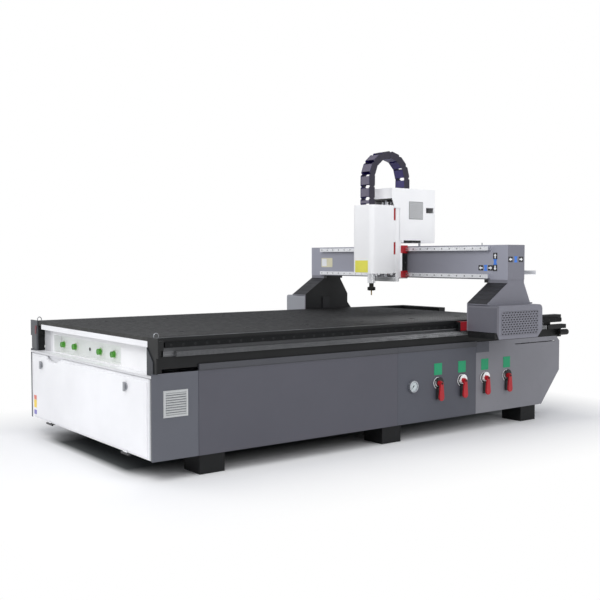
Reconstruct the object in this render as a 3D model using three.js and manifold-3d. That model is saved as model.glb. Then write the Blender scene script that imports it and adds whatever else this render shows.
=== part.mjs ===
import * as THREE from 'three';
import { mergeVertices } from 'three/addons/utils/BufferGeometryUtils.js';
import Module from 'manifold-3d';

// A gantry router for sheet wood. Millimetres, X across the bed, Y along it from the front door,
// Z up from the floor. The gantry, the carriage and the head are nested groups.

const wasm = await Module();
wasm.setup();

// General values
const seat = 0.3;
const overrun = 5;
const roundSides = 24;
const smallSides = 12;
const weldDistance = 1e-4;

// Bed, overall
const bedWidth = 1420;
const bedLength = 2784;
const tableHeight = 629;
const panelThickness = 2;

// Feet
const footHeight = 95;
const footWidth = 142;
const footLength = 132;
const footInset = 28;
const footShares = [0.1157, 0.5108, 0.9095];

// Welded frame
const tubeWall = 4;
const sillWidth = 100;
const sillHeight = 60;
const frameStart = 50.3;
const postSize = 60;
const sideBeamHeight = 53;
const sideBeamTopDrop = 83;
const sideBeamTop = tableHeight - sideBeamTopDrop;
const sideBeamOverhang = 21;
const bearerLength = 50;
const firstBearerGap = 48;
const bearerShares = [0.273, 0.507, 0.7256, 0.9627];

// Rail beams, on top of the side beams
const beamStart = 22;
const railBeamInset = 7.7;
const railBeamWidth = 50;
const railBeamBottomDrop = 47;
const railBeamBottom = tableHeight - railBeamBottomDrop;
const railBeamDrop = 1;
const railBeamOverhang = 29;
const spacerLength = 60;
const endSpacerLength = 35;

// Vacuum table
const tableThickness = 25;
const tableRearGap = 324;
const portRadius = 11;
const portDepth = 12;
const portStart = 298;
const portPitch = 372;
const portRows = 6;
const portRowShares = [-0.575, 0.69];

// Rails and racks of the long axis
const railSize = 23;
const railHeight = 22;
const railWaist = 5;
const railHead = 8;
const yRailLevelDrop = 31;
const yRailLevel = tableHeight - yRailLevelDrop;
const yRailStart = 62;
const yRailOverhang = 6;
const seatBarThickness = 4.7;
const seatBarTopDrop = 43;
const seatBarTop = tableHeight - seatBarTopDrop;
const rackStart = 117;
const rackRearGap = 144;
const rackDepth = 21.7;
const rackHeight = 22;

// Fittings on the ends of the rail beams
const endPlateThickness = 6.7;
const endPlateReach = 37.3;
const endPlateTopRise = 2;
const endPlateTop = tableHeight + endPlateTopRise;
const endPlateStepDrop = 84;
const endPlateStep = tableHeight - endPlateStepDrop;
const endPlateLowerReach = 22.3;
const gussetThickness = 4;
const gussetWidth = 55;
const gussetHeight = 120;
const gussetStraight = 60;
const stopLength = 24;
const stopReach = 40;
const stopHeight = 41;
const rearBracketLength = 174;
const rearBracketOverhang = 32;
const rearBracketReach = 28.3;
const rearBracketHeight = 25;
const glandRadius = 18;
const glandLength = 80;
const glandOverhang = 56;
const glandSink = 4;
const glandLevelDrop = 108;
const glandLevel = tableHeight - glandLevelDrop;

// Cross bar on the far rail beam's rear end
const rearBarLength = 60;
const rearBarReach = 372;

// Side panels
const frontPanelTopDrop = 154;
const frontPanelTop = tableHeight - frontPanelTopDrop;
const panelTopDrop = 129;
const panelTop = tableHeight - panelTopDrop;
const panelStart = 2;
const panelSeamShares = [0.0841, 0.5158, 0.7313];
const panelGap = 1;
const raisedPanelThickness = 4;
const lipHeight = 26;
const lipBottomDrop = 150;
const lipBottom = tableHeight - lipBottomDrop;
const lipReach = 6;
const chamferRun = 168;
const chamferTop = 291;
const topCornerRun = 31;
const slitLength = 369;
const slitRearGap = 44;
const slitHeight = 5;
const slitLevelDrop = 161;
const slitLevel = tableHeight - slitLevelDrop;
const rearCoverThickness = 2;

// Louvre vents
const ventStart = 60;
const ventLength = 119;
const ventBottomDrop = 346;
const ventBottom = tableHeight - ventBottomDrop;
const ventHeight = 114;
const ventFrame = 8;
const ventDepth = 4;
const ventSlats = 9;
const slatThickness = 2;
const slatHeight = 7;

// Front frame and ledge
const frameFront = 20.3;
const frameWall = 48;
const frameLower = 35;
const frameUpper = 48;
const ledgeTopDrop = 163;
const ledgeTop = tableHeight - ledgeTopDrop;
const ledgeThickness = 10;
const ledgeDepth = 72;

// Door
const doorInset = 1.7;
const doorBottom = 98;
const doorTopDrop = 177;
const doorTop = tableHeight - doorTopDrop;
const doorThickness = 16;
const doorBevelWidth = 38;
const doorBevelHeight = 12;
const doorRaise = 6;
const doorSkin = 2;
const notchCentre = -393;
const notchHalfWidth = 100;
const notchDepth = 29;
const hingeLevel = 90;
const hingeDepth = 3;
const hingeRadius = 5;
const hingePinRadius = 2.5;
const hingeShares = [-0.64, 0.64];
const hingeKnuckle = 40;
const hingeEar = 20;

// Door latches
const latchShares = [-0.772, 0.666];
const latchLevelDrop = 231;
const latchLevel = tableHeight - latchLevelDrop;
const latchBaseRadius = 16;
const latchBaseDepth = 5;
const latchWingLength = 42;
const latchWingWidth = 12;
const latchWingDepth = 9;
const latchShaftRadius = 5;
const latchCamLength = 56;
const latchCamWidth = 14;
const latchCamThickness = 3;

// Upper front panel with its recess
const upperPanelInset = 5;
const upperPanelFront = 57;
const upperPanelThickness = 3;
const recessCentre = -104;
const recessHalfWidth = 406;
const recessBottomDrop = 158;
const recessBottom = tableHeight - recessBottomDrop;
const recessTopDrop = 67;
const recessTop = tableHeight - recessTopDrop;
const recessDepth = 40;
const recessWall = 2;
const buttonPlateThickness = 3;

// Push buttons
const buttonShares = [-0.8663, -0.4865, 0.27, 0.6542];
const socketShare = -0.079;
const socketRadius = 7;
const socketDepth = 2;
const buttonLevelDrop = 119;
const buttonLevel = tableHeight - buttonLevelDrop;
const buttonRadius = 15;
const buttonReach = 18;
const buttonStemRadius = 9;
const buttonStemLength = 12;
const buttonTravel = 4;
const buttonFit = 0.4;
const bezelRadius = 19;
const bezelDepth = 5;

// Control cabinet
const controlPlateInset = 17.7;
const controlPlateBottom = 165;
const controlPlateTopDrop = 189;
const controlPlateTop = tableHeight - controlPlateTopDrop;
const controlPlateThickness = 3;
const driveCount = 4;
const drivePitch = 110;
const driveFirstShare = -0.7536;
const driveWidth = 60;
const driveHeight = 170;
const driveDepth = 120;
const inverterShare = 0.087;
const inverterWidth = 180;
const inverterHeight = 230;
const inverterDepth = 140;
const supplyShare = 0.4783;
const supplyWidth = 120;
const supplyHeight = 200;
const supplyDepth = 60;

// Vacuum valves, gauge and pipes
const valveCount = 4;
const valveStartShare = 0.6225;
const valvePitch = 187.5;
const valveLevelDrop = 334;
const valveLevel = tableHeight - valveLevelDrop;
const flangeRadius = 33;
const flangeFit = 1;
const flangeDepth = 13;
const flangeReach = 1;
const pipeInset = 142.7;
const riserRadius = 24;
const manifoldRadius = 38;
const manifoldBore = 32;
const manifoldLevelDrop = 434;
const manifoldLevel = tableHeight - manifoldLevelDrop;
const manifoldLead = 70;
const valveBodyRadius = 36;
const valveBodyHeight = 84;
const stemRadius = 12;
const leverHubRadius = 14;
const leverHubLength = 22;
const leverThickness = 9;
const leverLength = 95;
const leverWidth = 36;
const leverNeck = 20;
const tagWidth = 60;
const tagHeight = 63;
const tagLevelDrop = 258;
const tagLevel = tableHeight - tagLevelDrop;
const tagThickness = 1.5;
const gaugeShare = 0.5532;
const gaugeLevelDrop = 336;
const gaugeLevel = tableHeight - gaugeLevelDrop;
const gaugeRadius = 31;
const gaugeDepth = 16;
const gaugeStemLength = 18;
const gaugeStemFit = 1;
const gaugeRim = 4;
const dialDepth = 6;
const needleLength = 21;
const needleTail = 8;
const needleWidth = 2.4;
const needleThickness = 1.2;
const needleHubRadius = 3;
const needleRest = 135;

// Gantry beam
const gantryPlace = 2097.5;
const beamHalfLength = 882;
const beamDepth = 139.5;
const beamBottomRise = 224;
const beamBottom = tableHeight + beamBottomRise;
const beamTopRise = 417.5;
const beamTop = tableHeight + beamTopRise;
const beamWall = 8;
const cableHoleRadius = 30;
const xRailLowRise = 242;
const xRailLow = tableHeight + xRailLowRise;
const xRailHighRise = 398.5;
const xRailHigh = tableHeight + xRailHighRise;
const xRailLeft = -760;
const xRailRight = 757;
const xRackInset = 22;
const xRackLevelRise = 372;
const xRackLevel = tableHeight + xRackLevelRise;
const trayReach = 129;
const trayLevelRise = 250;
const trayLevel = tableHeight + trayLevelRise;
const trayLip = 23;
const trayWall = 3;

// Legs
const legTopRise = 206;
const legTop = tableHeight + legTopRise;
const legSkin = 8;
const legFootLevelRise = 96;
const legFootLevel = tableHeight + legFootLevelRise;
const legFootFront = -166.5;
const legFootRear = 193.5;
const legFlangeHeight = 8;
const legFlangeReach = 8;
const legFlangeOuterReach = 10;
const legEndGap = 2;
const kneeLevelRise = 36;
const kneeLevel = tableHeight + kneeLevelRise;
const plateBottomDrop = 57;
const plateBottom = tableHeight - plateBottomDrop;
const plateRear = 240;
const plateWaist = 207.5;
const plateFlareLevelDrop = 4;
const plateFlareLevel = tableHeight - plateFlareLevelDrop;
const seatPlateReach = 23.6;

// Covers outside the legs
const coverReach = 69;
const coverFront = -166.5;
const coverRear = 213.5;
const coverTopRise = 87.5;
const coverTop = tableHeight + coverTopRise;
const coverBottomDrop = 94;
const coverBottom = tableHeight - coverBottomDrop;
const coverFrontBottomDrop = 57;
const coverFrontBottom = tableHeight - coverFrontBottomDrop;
const coverWall = 3;
const coverRound = 26;
const coverChamfer = 40;
const coverSlant = 20;
const panBottomDrop = 91;
const panBottom = tableHeight - panBottomDrop;
const panTopDrop = 58;
const panTop = tableHeight - panTopDrop;
const panWall = 3;
const panChamfer = 14;

// Bearing blocks
const blockHeight = 36;
const blockWidth = 48;
const blockLength = 84;
const blockFloor = 5.5;
const yBlockFront = -222;
const yBlockRear = 157.5;
const railFit = 0.3;

// Drives with a pinion on a rack
const pinionTeeth = 20;
const pinionRadius = 30;
const pinionTooth = 1.5;
const pinionWidth = 20;
const pinionFit = 0.5;
const shaftRadius = 7;
const yMotorPlace = 8.5;
const yMotorSize = 60;
const yMotorTopRise = 76;
const yMotorTop = tableHeight + yMotorTopRise;
const xMotorSize = 78;
const xMotorTopRise = 601;
const xMotorTop = tableHeight + xMotorTopRise;

// Carriage
const carriagePlace = -4;
const carriageHalfWidth = 88;
const carriageThickness = 20;
const carriageBottomRise = 223;
const carriageBottom = tableHeight + carriageBottomRise;
const carriageTopRise = 661;
const carriageTop = tableHeight + carriageTopRise;
const xBlockPlace = 59;
const xBlockLength = 82;
const xBlockHeight = 51.7;
const adaptorHalfWidth = 100;
const adaptorGap = 14;
const plateFlangeThickness = 5;
const plateFlangeReach = 22;
const bridgeBottomRise = 439;
const bridgeBottom = tableHeight + bridgeBottomRise;
const bridgeThickness = 14;
const bridgeRear = 234;
const zRailPlace = 58;
const zRailHeight = 30;
const zRailBottomRise = 239;
const zRailBottom = tableHeight + zRailBottomRise;
const zRailTopRise = 651;
const zRailTop = tableHeight + zRailTopRise;
const zBlockHeight = 40;
const zBlockLength = 74;
const zBlockLowRise = 404;
const zBlockLow = tableHeight + zBlockLowRise;
const zBlockHighRise = 613;
const zBlockHigh = tableHeight + zBlockHighRise;
const lowerBracketBottomRise = 200;
const lowerBracketBottom = tableHeight + lowerBracketBottomRise;
const lowerBracketTopRise = 227;
const lowerBracketTop = tableHeight + lowerBracketTopRise;
const lowerBracketLap = 6;
const upperBracketBottomRise = 635;
const upperBracketBottom = tableHeight + upperBracketBottomRise;
const upperBracketTopRise = 665;
const upperBracketTop = tableHeight + upperBracketTopRise;
const bracketHalfWidth = 30;
const pillarRadius = 6;
const pillarInset = 8;
const motorPlateBottomRise = 699;
const motorPlateBottom = tableHeight + motorPlateBottomRise;
const motorPlateThickness = 8;
const motorPlateInset = 1;

// Ball screw and its motor
const screwRadius = 10;
const screwDepth = -93.2;
const screwFit = 0.4;
const nutRadius = 17;
const nutBottomRise = 417;
const nutBottom = tableHeight + nutBottomRise;
const nutHeight = 40;
const zMotorSize = 57;
const zMotorHeight = 60;

// White housing behind the head
const housingHalfWidth = 93;
const housingWall = 2;
const housingTopRise = 773;
const housingTop = tableHeight + housingTopRise;
const housingRear = 236.5;
const housingFront = -132;
const housingFrontBottomRise = 709;
const housingFrontBottom = tableHeight + housingFrontBottomRise;
const housingSlopeLevelRise = 650;
const housingSlopeLevel = tableHeight + housingSlopeLevelRise;
const housingSlopeDepth = -110;
const housingThroat = -64.5;
const portholeStart = 158;
const portholeLength = 66;
const portholeBottomRise = 626;
const portholeBottom = tableHeight + portholeBottomRise;
const portholeHeight = 33;

// Head
const headPlateThickness = 18;
const headPlateBottomRise = 271;
const headPlateBottom = tableHeight + headPlateBottomRise;
const headPlateTopRise = 661;
const headPlateTop = tableHeight + headPlateTopRise;
const coverHalfWidth = 88;
const headCoverDepth = 184.7;
const headCoverBottomRise = 250;
const headCoverBottom = tableHeight + headCoverBottomRise;
const headCoverTopRise = 666;
const headCoverTop = tableHeight + headCoverTopRise;
const headCoverWall = 2.5;
const headCoverRound = 30;
const headCoverLip = 12;
const roundSteps = 5;
const spindleDepth = -214.5;
const spindleRadius = 40;
const spindleNoseRadius = 24.5;
const spindleBottomRise = 191;
const spindleBottom = tableHeight + spindleBottomRise;
const spindleNoseTopRise = 247;
const spindleNoseTop = tableHeight + spindleNoseTopRise;
const spindleTopRise = 551;
const spindleTop = tableHeight + spindleTopRise;
const spindleFit = 0.3;
const clampHalfWidth = 58;
const clampShares = [0.077, 0.462];
const clampHeight = 40;
const clampFront = 52;

// Collet nut and cutter
const neckRadius = 14.5;
const neckBottomRise = 167;
const neckBottom = tableHeight + neckBottomRise;
const colletRadius = 24;
const colletBottomRise = 145;
const colletBottom = tableHeight + colletBottomRise;
const colletTaper = 6;
const cutterRadius = 4;
const cutterBottomRise = 117;
const cutterBottom = tableHeight + cutterBottomRise;
const cutterTaper = 5;

// Drag chain
const chainHalfWidth = 42;
const chainThickness = 40;
const chainRadius = 144.5;
const chainCentreLevelRise = 836;
const chainCentreLevel = tableHeight + chainCentreLevelRise;
const chainFront = -268;
const chainPlate = 6;
const chainBar = 3;
const chainBarLength = 42;
const chainLinkLap = 12;
const chainRiserLinks = 6;
const chainReturnLinks = 4;

// Worked out from the sizes above
const bedHalf = bedWidth / 2;
const frameOuter = bedHalf - panelThickness - seat;
const sideBeamInner = frameOuter - postSize;
const sideBeamEnd = bedLength + sideBeamOverhang;
const sideBeamBottom = sideBeamTop - sideBeamHeight;
const sillBottom = footHeight;
const sillTop = sillBottom + sillHeight;
const sillEnd = bedLength - chamferRun - 2 * overrun;
const railBeamOuter = frameOuter - railBeamInset;
const railBeamInner = railBeamOuter - railBeamWidth;
const railBeamEnd = bedLength + railBeamOverhang;
const railBeamTop = tableHeight - railBeamDrop;
const tableBottom = tableHeight - tableThickness;
const tableHalf = railBeamInner - seat;
const tableEnd = bedLength - tableRearGap;
const yRailEnd = bedLength + yRailOverhang;
const rackEnd = bedLength - rackRearGap;
const endPlateOuter = frameOuter + endPlateReach;
const endPlateLowerOuter = frameOuter + endPlateLowerReach;
const rearBracketOuter = frameOuter + rearBracketReach;
const rearBracketEnd = bedLength + rearBracketOverhang;
const rearBracketStart = rearBracketEnd - rearBracketLength;
const glandEnd = bedLength + glandOverhang;
const glandStart = glandEnd - glandLength;
const rearBarStart = railBeamEnd - rearBarLength;
const slitEnd = bedLength - slitRearGap;
const slitStart = slitEnd - slitLength;
const doorHalfWidth = frameOuter - doorInset;
const upperPanelHalfWidth = sideBeamInner - upperPanelInset;
const controlPlateHalfWidth = frameOuter - controlPlateInset;
const valveStart = valveStartShare * bedLength;
const gaugePlace = gaugeShare * bedLength;
const pipePlace = frameOuter - pipeInset;
const yRailBase = railBeamOuter + seat;
const rackInner = yRailBase + seatBarThickness;
const rackOuter = rackInner + rackDepth;
const rackBottom = sideBeamTop + seat;
const rackTop = rackBottom + rackHeight;
const blockFace = yRailBase + blockHeight;
const pinionOuter = pinionRadius + pinionTooth;
const yPinionPlace = rackOuter + pinionFit + pinionOuter;
const legOuter = beamHalfLength - legEndGap;
const legInner = blockFace + seat;
const innerPlateOuter = legInner + legSkin;
const coverOuter = beamHalfLength + coverReach;
const xRailBase = -seat;
const carriageBack = xRailBase - xBlockHeight;
const carriageFront = carriageBack - carriageThickness;
const zRailBase = carriageFront - seat;
const headBack = zRailBase - zBlockHeight;
const headFront = headBack - headPlateThickness;
const headPlateHalfWidth = coverHalfWidth - headCoverWall - seat;
const xRackRear = beamDepth + seat + rackDepth;
const xPinionDepth = xRackRear + pinionFit + pinionOuter;
const xRackTop = xRackLevel + rackHeight;
const bridgeTop = bridgeBottom + bridgeThickness;
const housingBottom = bridgeTop + seat;
const motorPlateHalfWidth = housingHalfWidth - housingWall - seat;
const motorPlateFront = housingFront + motorPlateInset;

const hingePlaces = hingeShares.map((share) => share * doorHalfWidth);
const latchPlaces = latchShares.map((share) => share * doorHalfWidth);
const buttonPlaces = buttonShares.map((share) => recessCentre + share * recessHalfWidth);

// Materials
const paint = (colour, roughness = 0.5, metalness = 0) =>
  new THREE.MeshStandardMaterial({ color: colour, roughness, metalness });
const white = paint(0xf2f2f2, 0.4);
const panelGrey = paint(0x565a66, 0.45);
const black = paint(0x1c1d1f, 0.55);
const beamGrey = paint(0x82828c, 0.45);
const plateGrey = paint(0xc9c9cd, 0.5);
const tableBlack = paint(0x2f3030, 0.7);
const steel = paint(0xb4b6b8, 0.35, 0.9);
const darkSteel = paint(0x4a4b4d, 0.4, 0.8);
const brightRail = paint(0xe6e6e6, 0.3, 0.5);
const red = paint(0xb5121b, 0.4);
const leverRed = paint(0xc8242f, 0.4);
const green = paint(0x4fa321, 0.35);
const chainBlue = paint(0x2b2a4a, 0.5);

// Geometry helpers

// A closed mesh with only positions, its shared vertices merged.
function bare(geometry) {
  const copy = geometry.index ? geometry.toNonIndexed() : geometry.clone();
  copy.deleteAttribute('normal');
  copy.deleteAttribute('uv');
  return mergeVertices(copy, weldDistance);
}

function toSolid(geometry) {
  const clean = bare(geometry);
  const vertProperties = new Float32Array(clean.attributes.position.array);
  const triVerts = new Uint32Array(clean.index.array);
  return new wasm.Manifold(new wasm.Mesh({ numProp: 3, vertProperties, triVerts }));
}

function toGeometry(solid) {
  const mesh = solid.getMesh();
  const geometry = new THREE.BufferGeometry();
  geometry.setAttribute('position', new THREE.BufferAttribute(new Float32Array(mesh.vertProperties), 3));
  geometry.setIndex(new THREE.BufferAttribute(new Uint32Array(mesh.triVerts), 1));
  return geometry;
}

const fuse = (...parts) => toGeometry(parts.map(toSolid).reduce((sum, part) => sum.add(part)));
const cut = (base, ...tools) => toGeometry(tools.map(toSolid).reduce((rest, tool) => rest.subtract(tool),
  toSolid(base)));

// A box from its lower and upper bound on each axis.
function block([x0, x1], [y0, y1], [z0, z1]) {
  const geometry = new THREE.BoxGeometry(x1 - x0, y1 - y0, z1 - z0);
  return geometry.translate((x0 + x1) / 2, (y0 + y1) / 2, (z0 + z1) / 2);
}

// A box centred on x and y that stands between two levels.
const pillarBlock = (x, y, width, length, [z0, z1]) =>
  block([x - width / 2, x + width / 2], [y - length / 2, y + length / 2], [z0, z1]);

// Extrusion axes: an outline is given in the other two axes, in X, Y, Z order.
const axisFrames = {
  x: new THREE.Matrix4().set(0, 0, 1, 0, 1, 0, 0, 0, 0, 1, 0, 0, 0, 0, 0, 1),
  y: new THREE.Matrix4().set(0, 1, 0, 0, 0, 0, 1, 0, 1, 0, 0, 0, 0, 0, 0, 1),
  z: new THREE.Matrix4(),
};

function shapeOf(axis, outline) {
  const points = outline.map(([a, b]) => (axis === 'y' ? new THREE.Vector2(b, a) : new THREE.Vector2(a, b)));
  return new THREE.Shape(THREE.ShapeUtils.isClockWise(points) ? points.reverse() : points);
}

// An outline carried along an axis from one place to another, with holes that go right through.
function prism(axis, outline, [from, to], holes = []) {
  const shape = shapeOf(axis, outline);
  shape.holes = holes.map((hole) => shapeOf(axis, hole));
  const geometry = new THREE.ExtrudeGeometry(shape, { depth: to - from, bevelEnabled: false });
  return geometry.translate(0, 0, from).applyMatrix4(axisFrames[axis]);
}

const rectangle = ([a0, a1], [b0, b1]) => [[a0, b0], [a1, b0], [a1, b1], [a0, b1]];

// A rectangular tube, open at both ends.
function tube(axis, [a0, a1], [b0, b1], span, wall = tubeWall) {
  const hole = rectangle([a0 + wall, a1 - wall], [b0 + wall, b1 - wall]);
  return prism(axis, rectangle([a0, a1], [b0, b1]), span, [hole]);
}

// Section of a channel, open towards the low end of its second coordinate.
const channelOutline = ([a0, a1], [b0, b1], wall = tubeWall) =>
  [[a0, b0], [a0 + wall, b0], [a0 + wall, b1 - wall],
  [a1 - wall, b1 - wall], [a1 - wall, b0], [a1, b0], [a1, b1], [a0, b1]];

// A round bar along an axis, placed by its other two coordinates in X, Y, Z order.
function rod(axis, radius, [a, b], [from, to], sides = roundSides, endRadius = radius) {
  const geometry = new THREE.CylinderGeometry(endRadius, radius, to - from, sides);
  geometry.rotateX(Math.PI / 2).translate(0, 0, (from + to) / 2);
  if (axis === 'z') return geometry.translate(a, b, 0);
  if (axis === 'x') return geometry.applyMatrix4(axisFrames.x).translate(0, a, b);
  return geometry.applyMatrix4(axisFrames.y).translate(a, 0, b);
}

// The same solid on the other side of the bed.
function mirrored(geometry) {
  const copy = bare(geometry).scale(-1, 1, 1);
  const index = copy.index.array;
  for (let i = 0; i < index.length; i += 3) {
    [index[i], index[i + 1]] = [index[i + 1], index[i]];
  }
  return copy;
}

// Points on an arc, angles in degrees.
function arc([a, b], radius, from, to, steps = roundSteps) {
  return Array.from({ length: steps + 1 }, (unused, i) => {
    const angle = THREE.MathUtils.degToRad(from + ((to - from) * i) / steps);
    return [a + radius * Math.cos(angle), b + radius * Math.sin(angle)];
  });
}

// Groups, with the origin of the whole part at the middle of its length
const machine = new THREE.Group();
const gantry = new THREE.Group();
const carriage = new THREE.Group();
const frontReach = latchBaseDepth + latchWingDepth;
machine.position.y = (frontReach - glandEnd) / 2;
gantry.position.y = gantryPlace;
carriage.position.x = carriagePlace;
machine.add(gantry);
gantry.add(carriage);

function addPiece(group, name, material, geometry) {
  const mesh = new THREE.Mesh(bare(geometry), material);
  mesh.name = name;
  group.add(mesh);
}

// The same piece on the valve side and on the far side
function addPair(group, name, material, geometry) {
  addPiece(group, `${name}_near`, material, geometry);
  addPiece(group, `${name}_far`, material, mirrored(geometry));
}

// Bed frame: feet, sills, posts, cross channels, side beams and table bearers, welded into one
const footPlaces = footShares.map((share) => share * bedLength);
const firstBearerPlace = upperPanelFront + recessDepth + firstBearerGap;
const bearerPlaces = [firstBearerPlace, ...bearerShares.map((share) => share * bedLength)];

function makeBedFrame() {
  const footX = frameOuter - footInset - footWidth / 2;
  const feet = footPlaces.map((y) => pillarBlock(footX, y, footWidth, footLength, [0, footHeight]));
  const sill = tube('y', [frameOuter - sillWidth, frameOuter], [sillBottom, sillTop], [frameStart, sillEnd]);
  const sideBeam = tube('y', [sideBeamInner, frameOuter], [sideBeamBottom, sideBeamTop],
    [beamStart + seat, sideBeamEnd]);
  const posts = footPlaces.map((y) => {
    const outline = channelOutline([y - postSize / 2, y + postSize / 2], [frameOuter - postSize, frameOuter]);
    return prism('z', outline.map(([a, b]) => [b, a]), [sillTop, sideBeamBottom]);
  });
  const bracket = block([railBeamOuter + seat, rearBracketOuter], [rearBracketStart, rearBracketEnd],
    [sideBeamTop, sideBeamTop + rearBracketHeight]);
  const gland = rod('y', glandRadius, [frameOuter + glandRadius - glandSink, glandLevel],
    [glandStart, glandEnd],
    smallSides);
  const side = [sill, sideBeam, bracket, gland, ...feet, ...posts];
  const crossReach = frameOuter - sillWidth;
  const crossChannels = footPlaces.map((y) =>
    prism('x', channelOutline([y - postSize / 2, y + postSize / 2], [sillBottom, sillTop]),
      [-crossReach, crossReach]));
  const bearers = bearerPlaces.map((y) =>
    prism('x', channelOutline([y - bearerLength / 2, y + bearerLength / 2],
      [sideBeamBottom, tableBottom - seat]),
      [-sideBeamInner, sideBeamInner]));
  return fuse(...side, ...side.map(mirrored), ...crossChannels, ...bearers);
}

// Rail beam with its spacers, front end plate, gusset and rail stop
function makeRailBeam() {
  const beam = tube('y', [railBeamInner, railBeamOuter], [railBeamBottom, railBeamTop],
    [beamStart, railBeamEnd]);
  const spacers = bearerPlaces.map((y) =>
    block([railBeamInner, railBeamOuter], [y - spacerLength / 2, y + spacerLength / 2],
      [sideBeamTop + seat, railBeamBottom + tubeWall / 2]));
  const plateBase = ledgeTop + seat;
  const plateFrontY = beamStart - endPlateThickness;
  const endSpacers = [[sideBeamTop + seat, railBeamBottom + tubeWall / 2],
    [plateBase, sideBeamBottom - seat]].map((levels) =>
    block([railBeamInner, railBeamOuter], [beamStart - tubeWall / 2, beamStart + endSpacerLength], levels));
  const plate = prism('y', [[railBeamInner, plateBase], [frameOuter, plateBase],
    [frameOuter, frontPanelTop + seat], [endPlateLowerOuter, frontPanelTop + seat],
    [endPlateLowerOuter, endPlateStep], [endPlateOuter, endPlateStep], [endPlateOuter, endPlateTop],
    [railBeamInner, endPlateTop]], [plateFrontY, beamStart]);
  const gusset = prism('y', [[railBeamInner, plateBase], [railBeamInner + gussetWidth, plateBase],
    [railBeamInner + gussetWidth, plateBase + gussetStraight], [railBeamInner, plateBase + gussetHeight]],
  [plateFrontY - gussetThickness, plateFrontY]);
  const stop = block([railBeamOuter, railBeamOuter + stopReach], [beamStart, beamStart + stopLength],
    [yRailLevel - stopHeight / 2, yRailLevel + stopHeight / 2]);
  return fuse(beam, plate, gusset, stop, ...spacers, ...endSpacers);
}

function makeRearBar() {
  return block([-railBeamInner, -railBeamInner + rearBarReach], [rearBarStart, railBeamEnd],
    [railBeamBottom, railBeamTop]);
}

// Vacuum table with its ports
function makeTable() {
  const slab = block([-tableHalf, tableHalf], [beamStart + seat, tableEnd], [tableBottom, tableHeight]);
  const ports = portRowShares.flatMap((share) =>
    Array.from({ length: portRows }, (unused, i) =>
      rod('z', portRadius, [share * tableHalf, portStart + i * portPitch],
        [tableHeight - portDepth, tableHeight + overrun], smallSides)));
  return cut(slab, ...ports);
}

// Section of a profile rail: base towards -v, head towards +v, waisted in between.
function railSection(height) {
  const half = railSize / 2;
  const neck = half - railWaist / 2;
  return [[-half, 0], [half, 0], [half, height / 3], [neck, height / 2], [neck, height - railHead],
    [half, height - railHead / 2], [half, height], [-half, height], [-half, height - railHead / 2],
    [-neck, height - railHead], [-neck, height / 2], [-half, height / 3]];
}

function makeYRail() {
  const outline = railSection(railHeight).map(([across, out]) => [yRailBase + out, yRailLevel + across]);
  return prism('y', outline, [yRailStart, yRailEnd]);
}

// Rack on the bar that seats it
function makeYRack() {
  const bar = block([yRailBase, rackInner], [yRailStart, rackEnd], [rackBottom, seatBarTop]);
  const rack = block([rackInner, rackOuter], [rackStart, rackEnd], [rackBottom, rackTop]);
  return fuse(bar, rack);
}

// Side panels of one side: a front sheet with louvres, then three raised sheets, two of them with a lip
const valvePlaces = Array.from({ length: valveCount }, (unused, i) => valveStart + i * valvePitch);
const panelInner = bedHalf - panelThickness;
const panelFace = panelInner + raisedPanelThickness;

function makeLouvres() {
  const y = [ventStart + ventFrame, ventStart + ventLength - ventFrame];
  const z = [ventBottom + ventFrame, ventBottom + ventHeight - ventFrame];
  const outer = bedHalf + ventDepth;
  const frame = prism('x', rectangle([ventStart, ventStart + ventLength],
    [ventBottom, ventBottom + ventHeight]),
    [bedHalf, outer], [rectangle(y, z)]);
  const pitch = (z[1] - z[0]) / ventSlats;
  const slats = Array.from({ length: ventSlats }, (unused, i) => {
    const low = z[0] + (i + 1 / 4) * pitch;
    const slope = [[panelInner, low + slatHeight], [outer, low], [outer, low + slatThickness],
      [panelInner, low + slatHeight + slatThickness]];
    return prism('y', slope, y);
  });
  const hole = block([panelInner - overrun, bedHalf + overrun], y, z);
  return { solid: fuse(frame, ...slats), hole };
}

function makeSidePanels(withValves) {
  const [first, second, third] = panelSeamShares.map((share) => share * bedLength);
  const half = panelGap / 2;
  const bottom = footHeight;
  const rearEdge = [[bedLength - chamferRun, bottom], [bedLength, chamferTop],
    [bedLength, panelTop - topCornerRun], [bedLength - topCornerRun, panelTop]];
  const sheet = prism('x', [[panelStart, bottom], ...rearEdge, [first + half, panelTop],
    [first + half, frontPanelTop], [panelStart, frontPanelTop]], [panelInner, bedHalf]);
  const raised = (from, to) => fuse(
    block([bedHalf, panelFace], [from + half, to - half], [bottom, panelTop]),
    block([panelInner, panelFace + lipReach], [from + half, to - half], [lipBottom, lipBottom + lipHeight]));
  const rear = prism('x', [[third + half, bottom], ...rearEdge, [third + half, panelTop]],
    [bedHalf, panelFace]);
  const through = [panelInner - overrun, panelFace + overrun];
  const slit = block(through, [slitStart, slitEnd], [slitLevel, slitLevel + slitHeight]);
  const louvres = makeLouvres();
  const panels = fuse(sheet, raised(first, second), raised(second, third), rear);
  const vented = fuse(cut(panels, slit, louvres.hole), louvres.solid);
  if (!withValves) return vented;
  const tags = valvePlaces.map((y) => block([bedHalf, panelFace + tagThickness],
    [y - tagWidth / 2, y + tagWidth / 2],
    [tagLevel - tagHeight / 2, tagLevel + tagHeight / 2]));
  const holes = valvePlaces.map((y) => rod('x', flangeRadius + flangeFit, [y, valveLevel], through));
  const gaugeHole = rod('x', stemRadius, [gaugePlace, gaugeLevel], through, smallSides);
  return fuse(cut(vented, gaugeHole, ...holes), ...tags);
}

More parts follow.
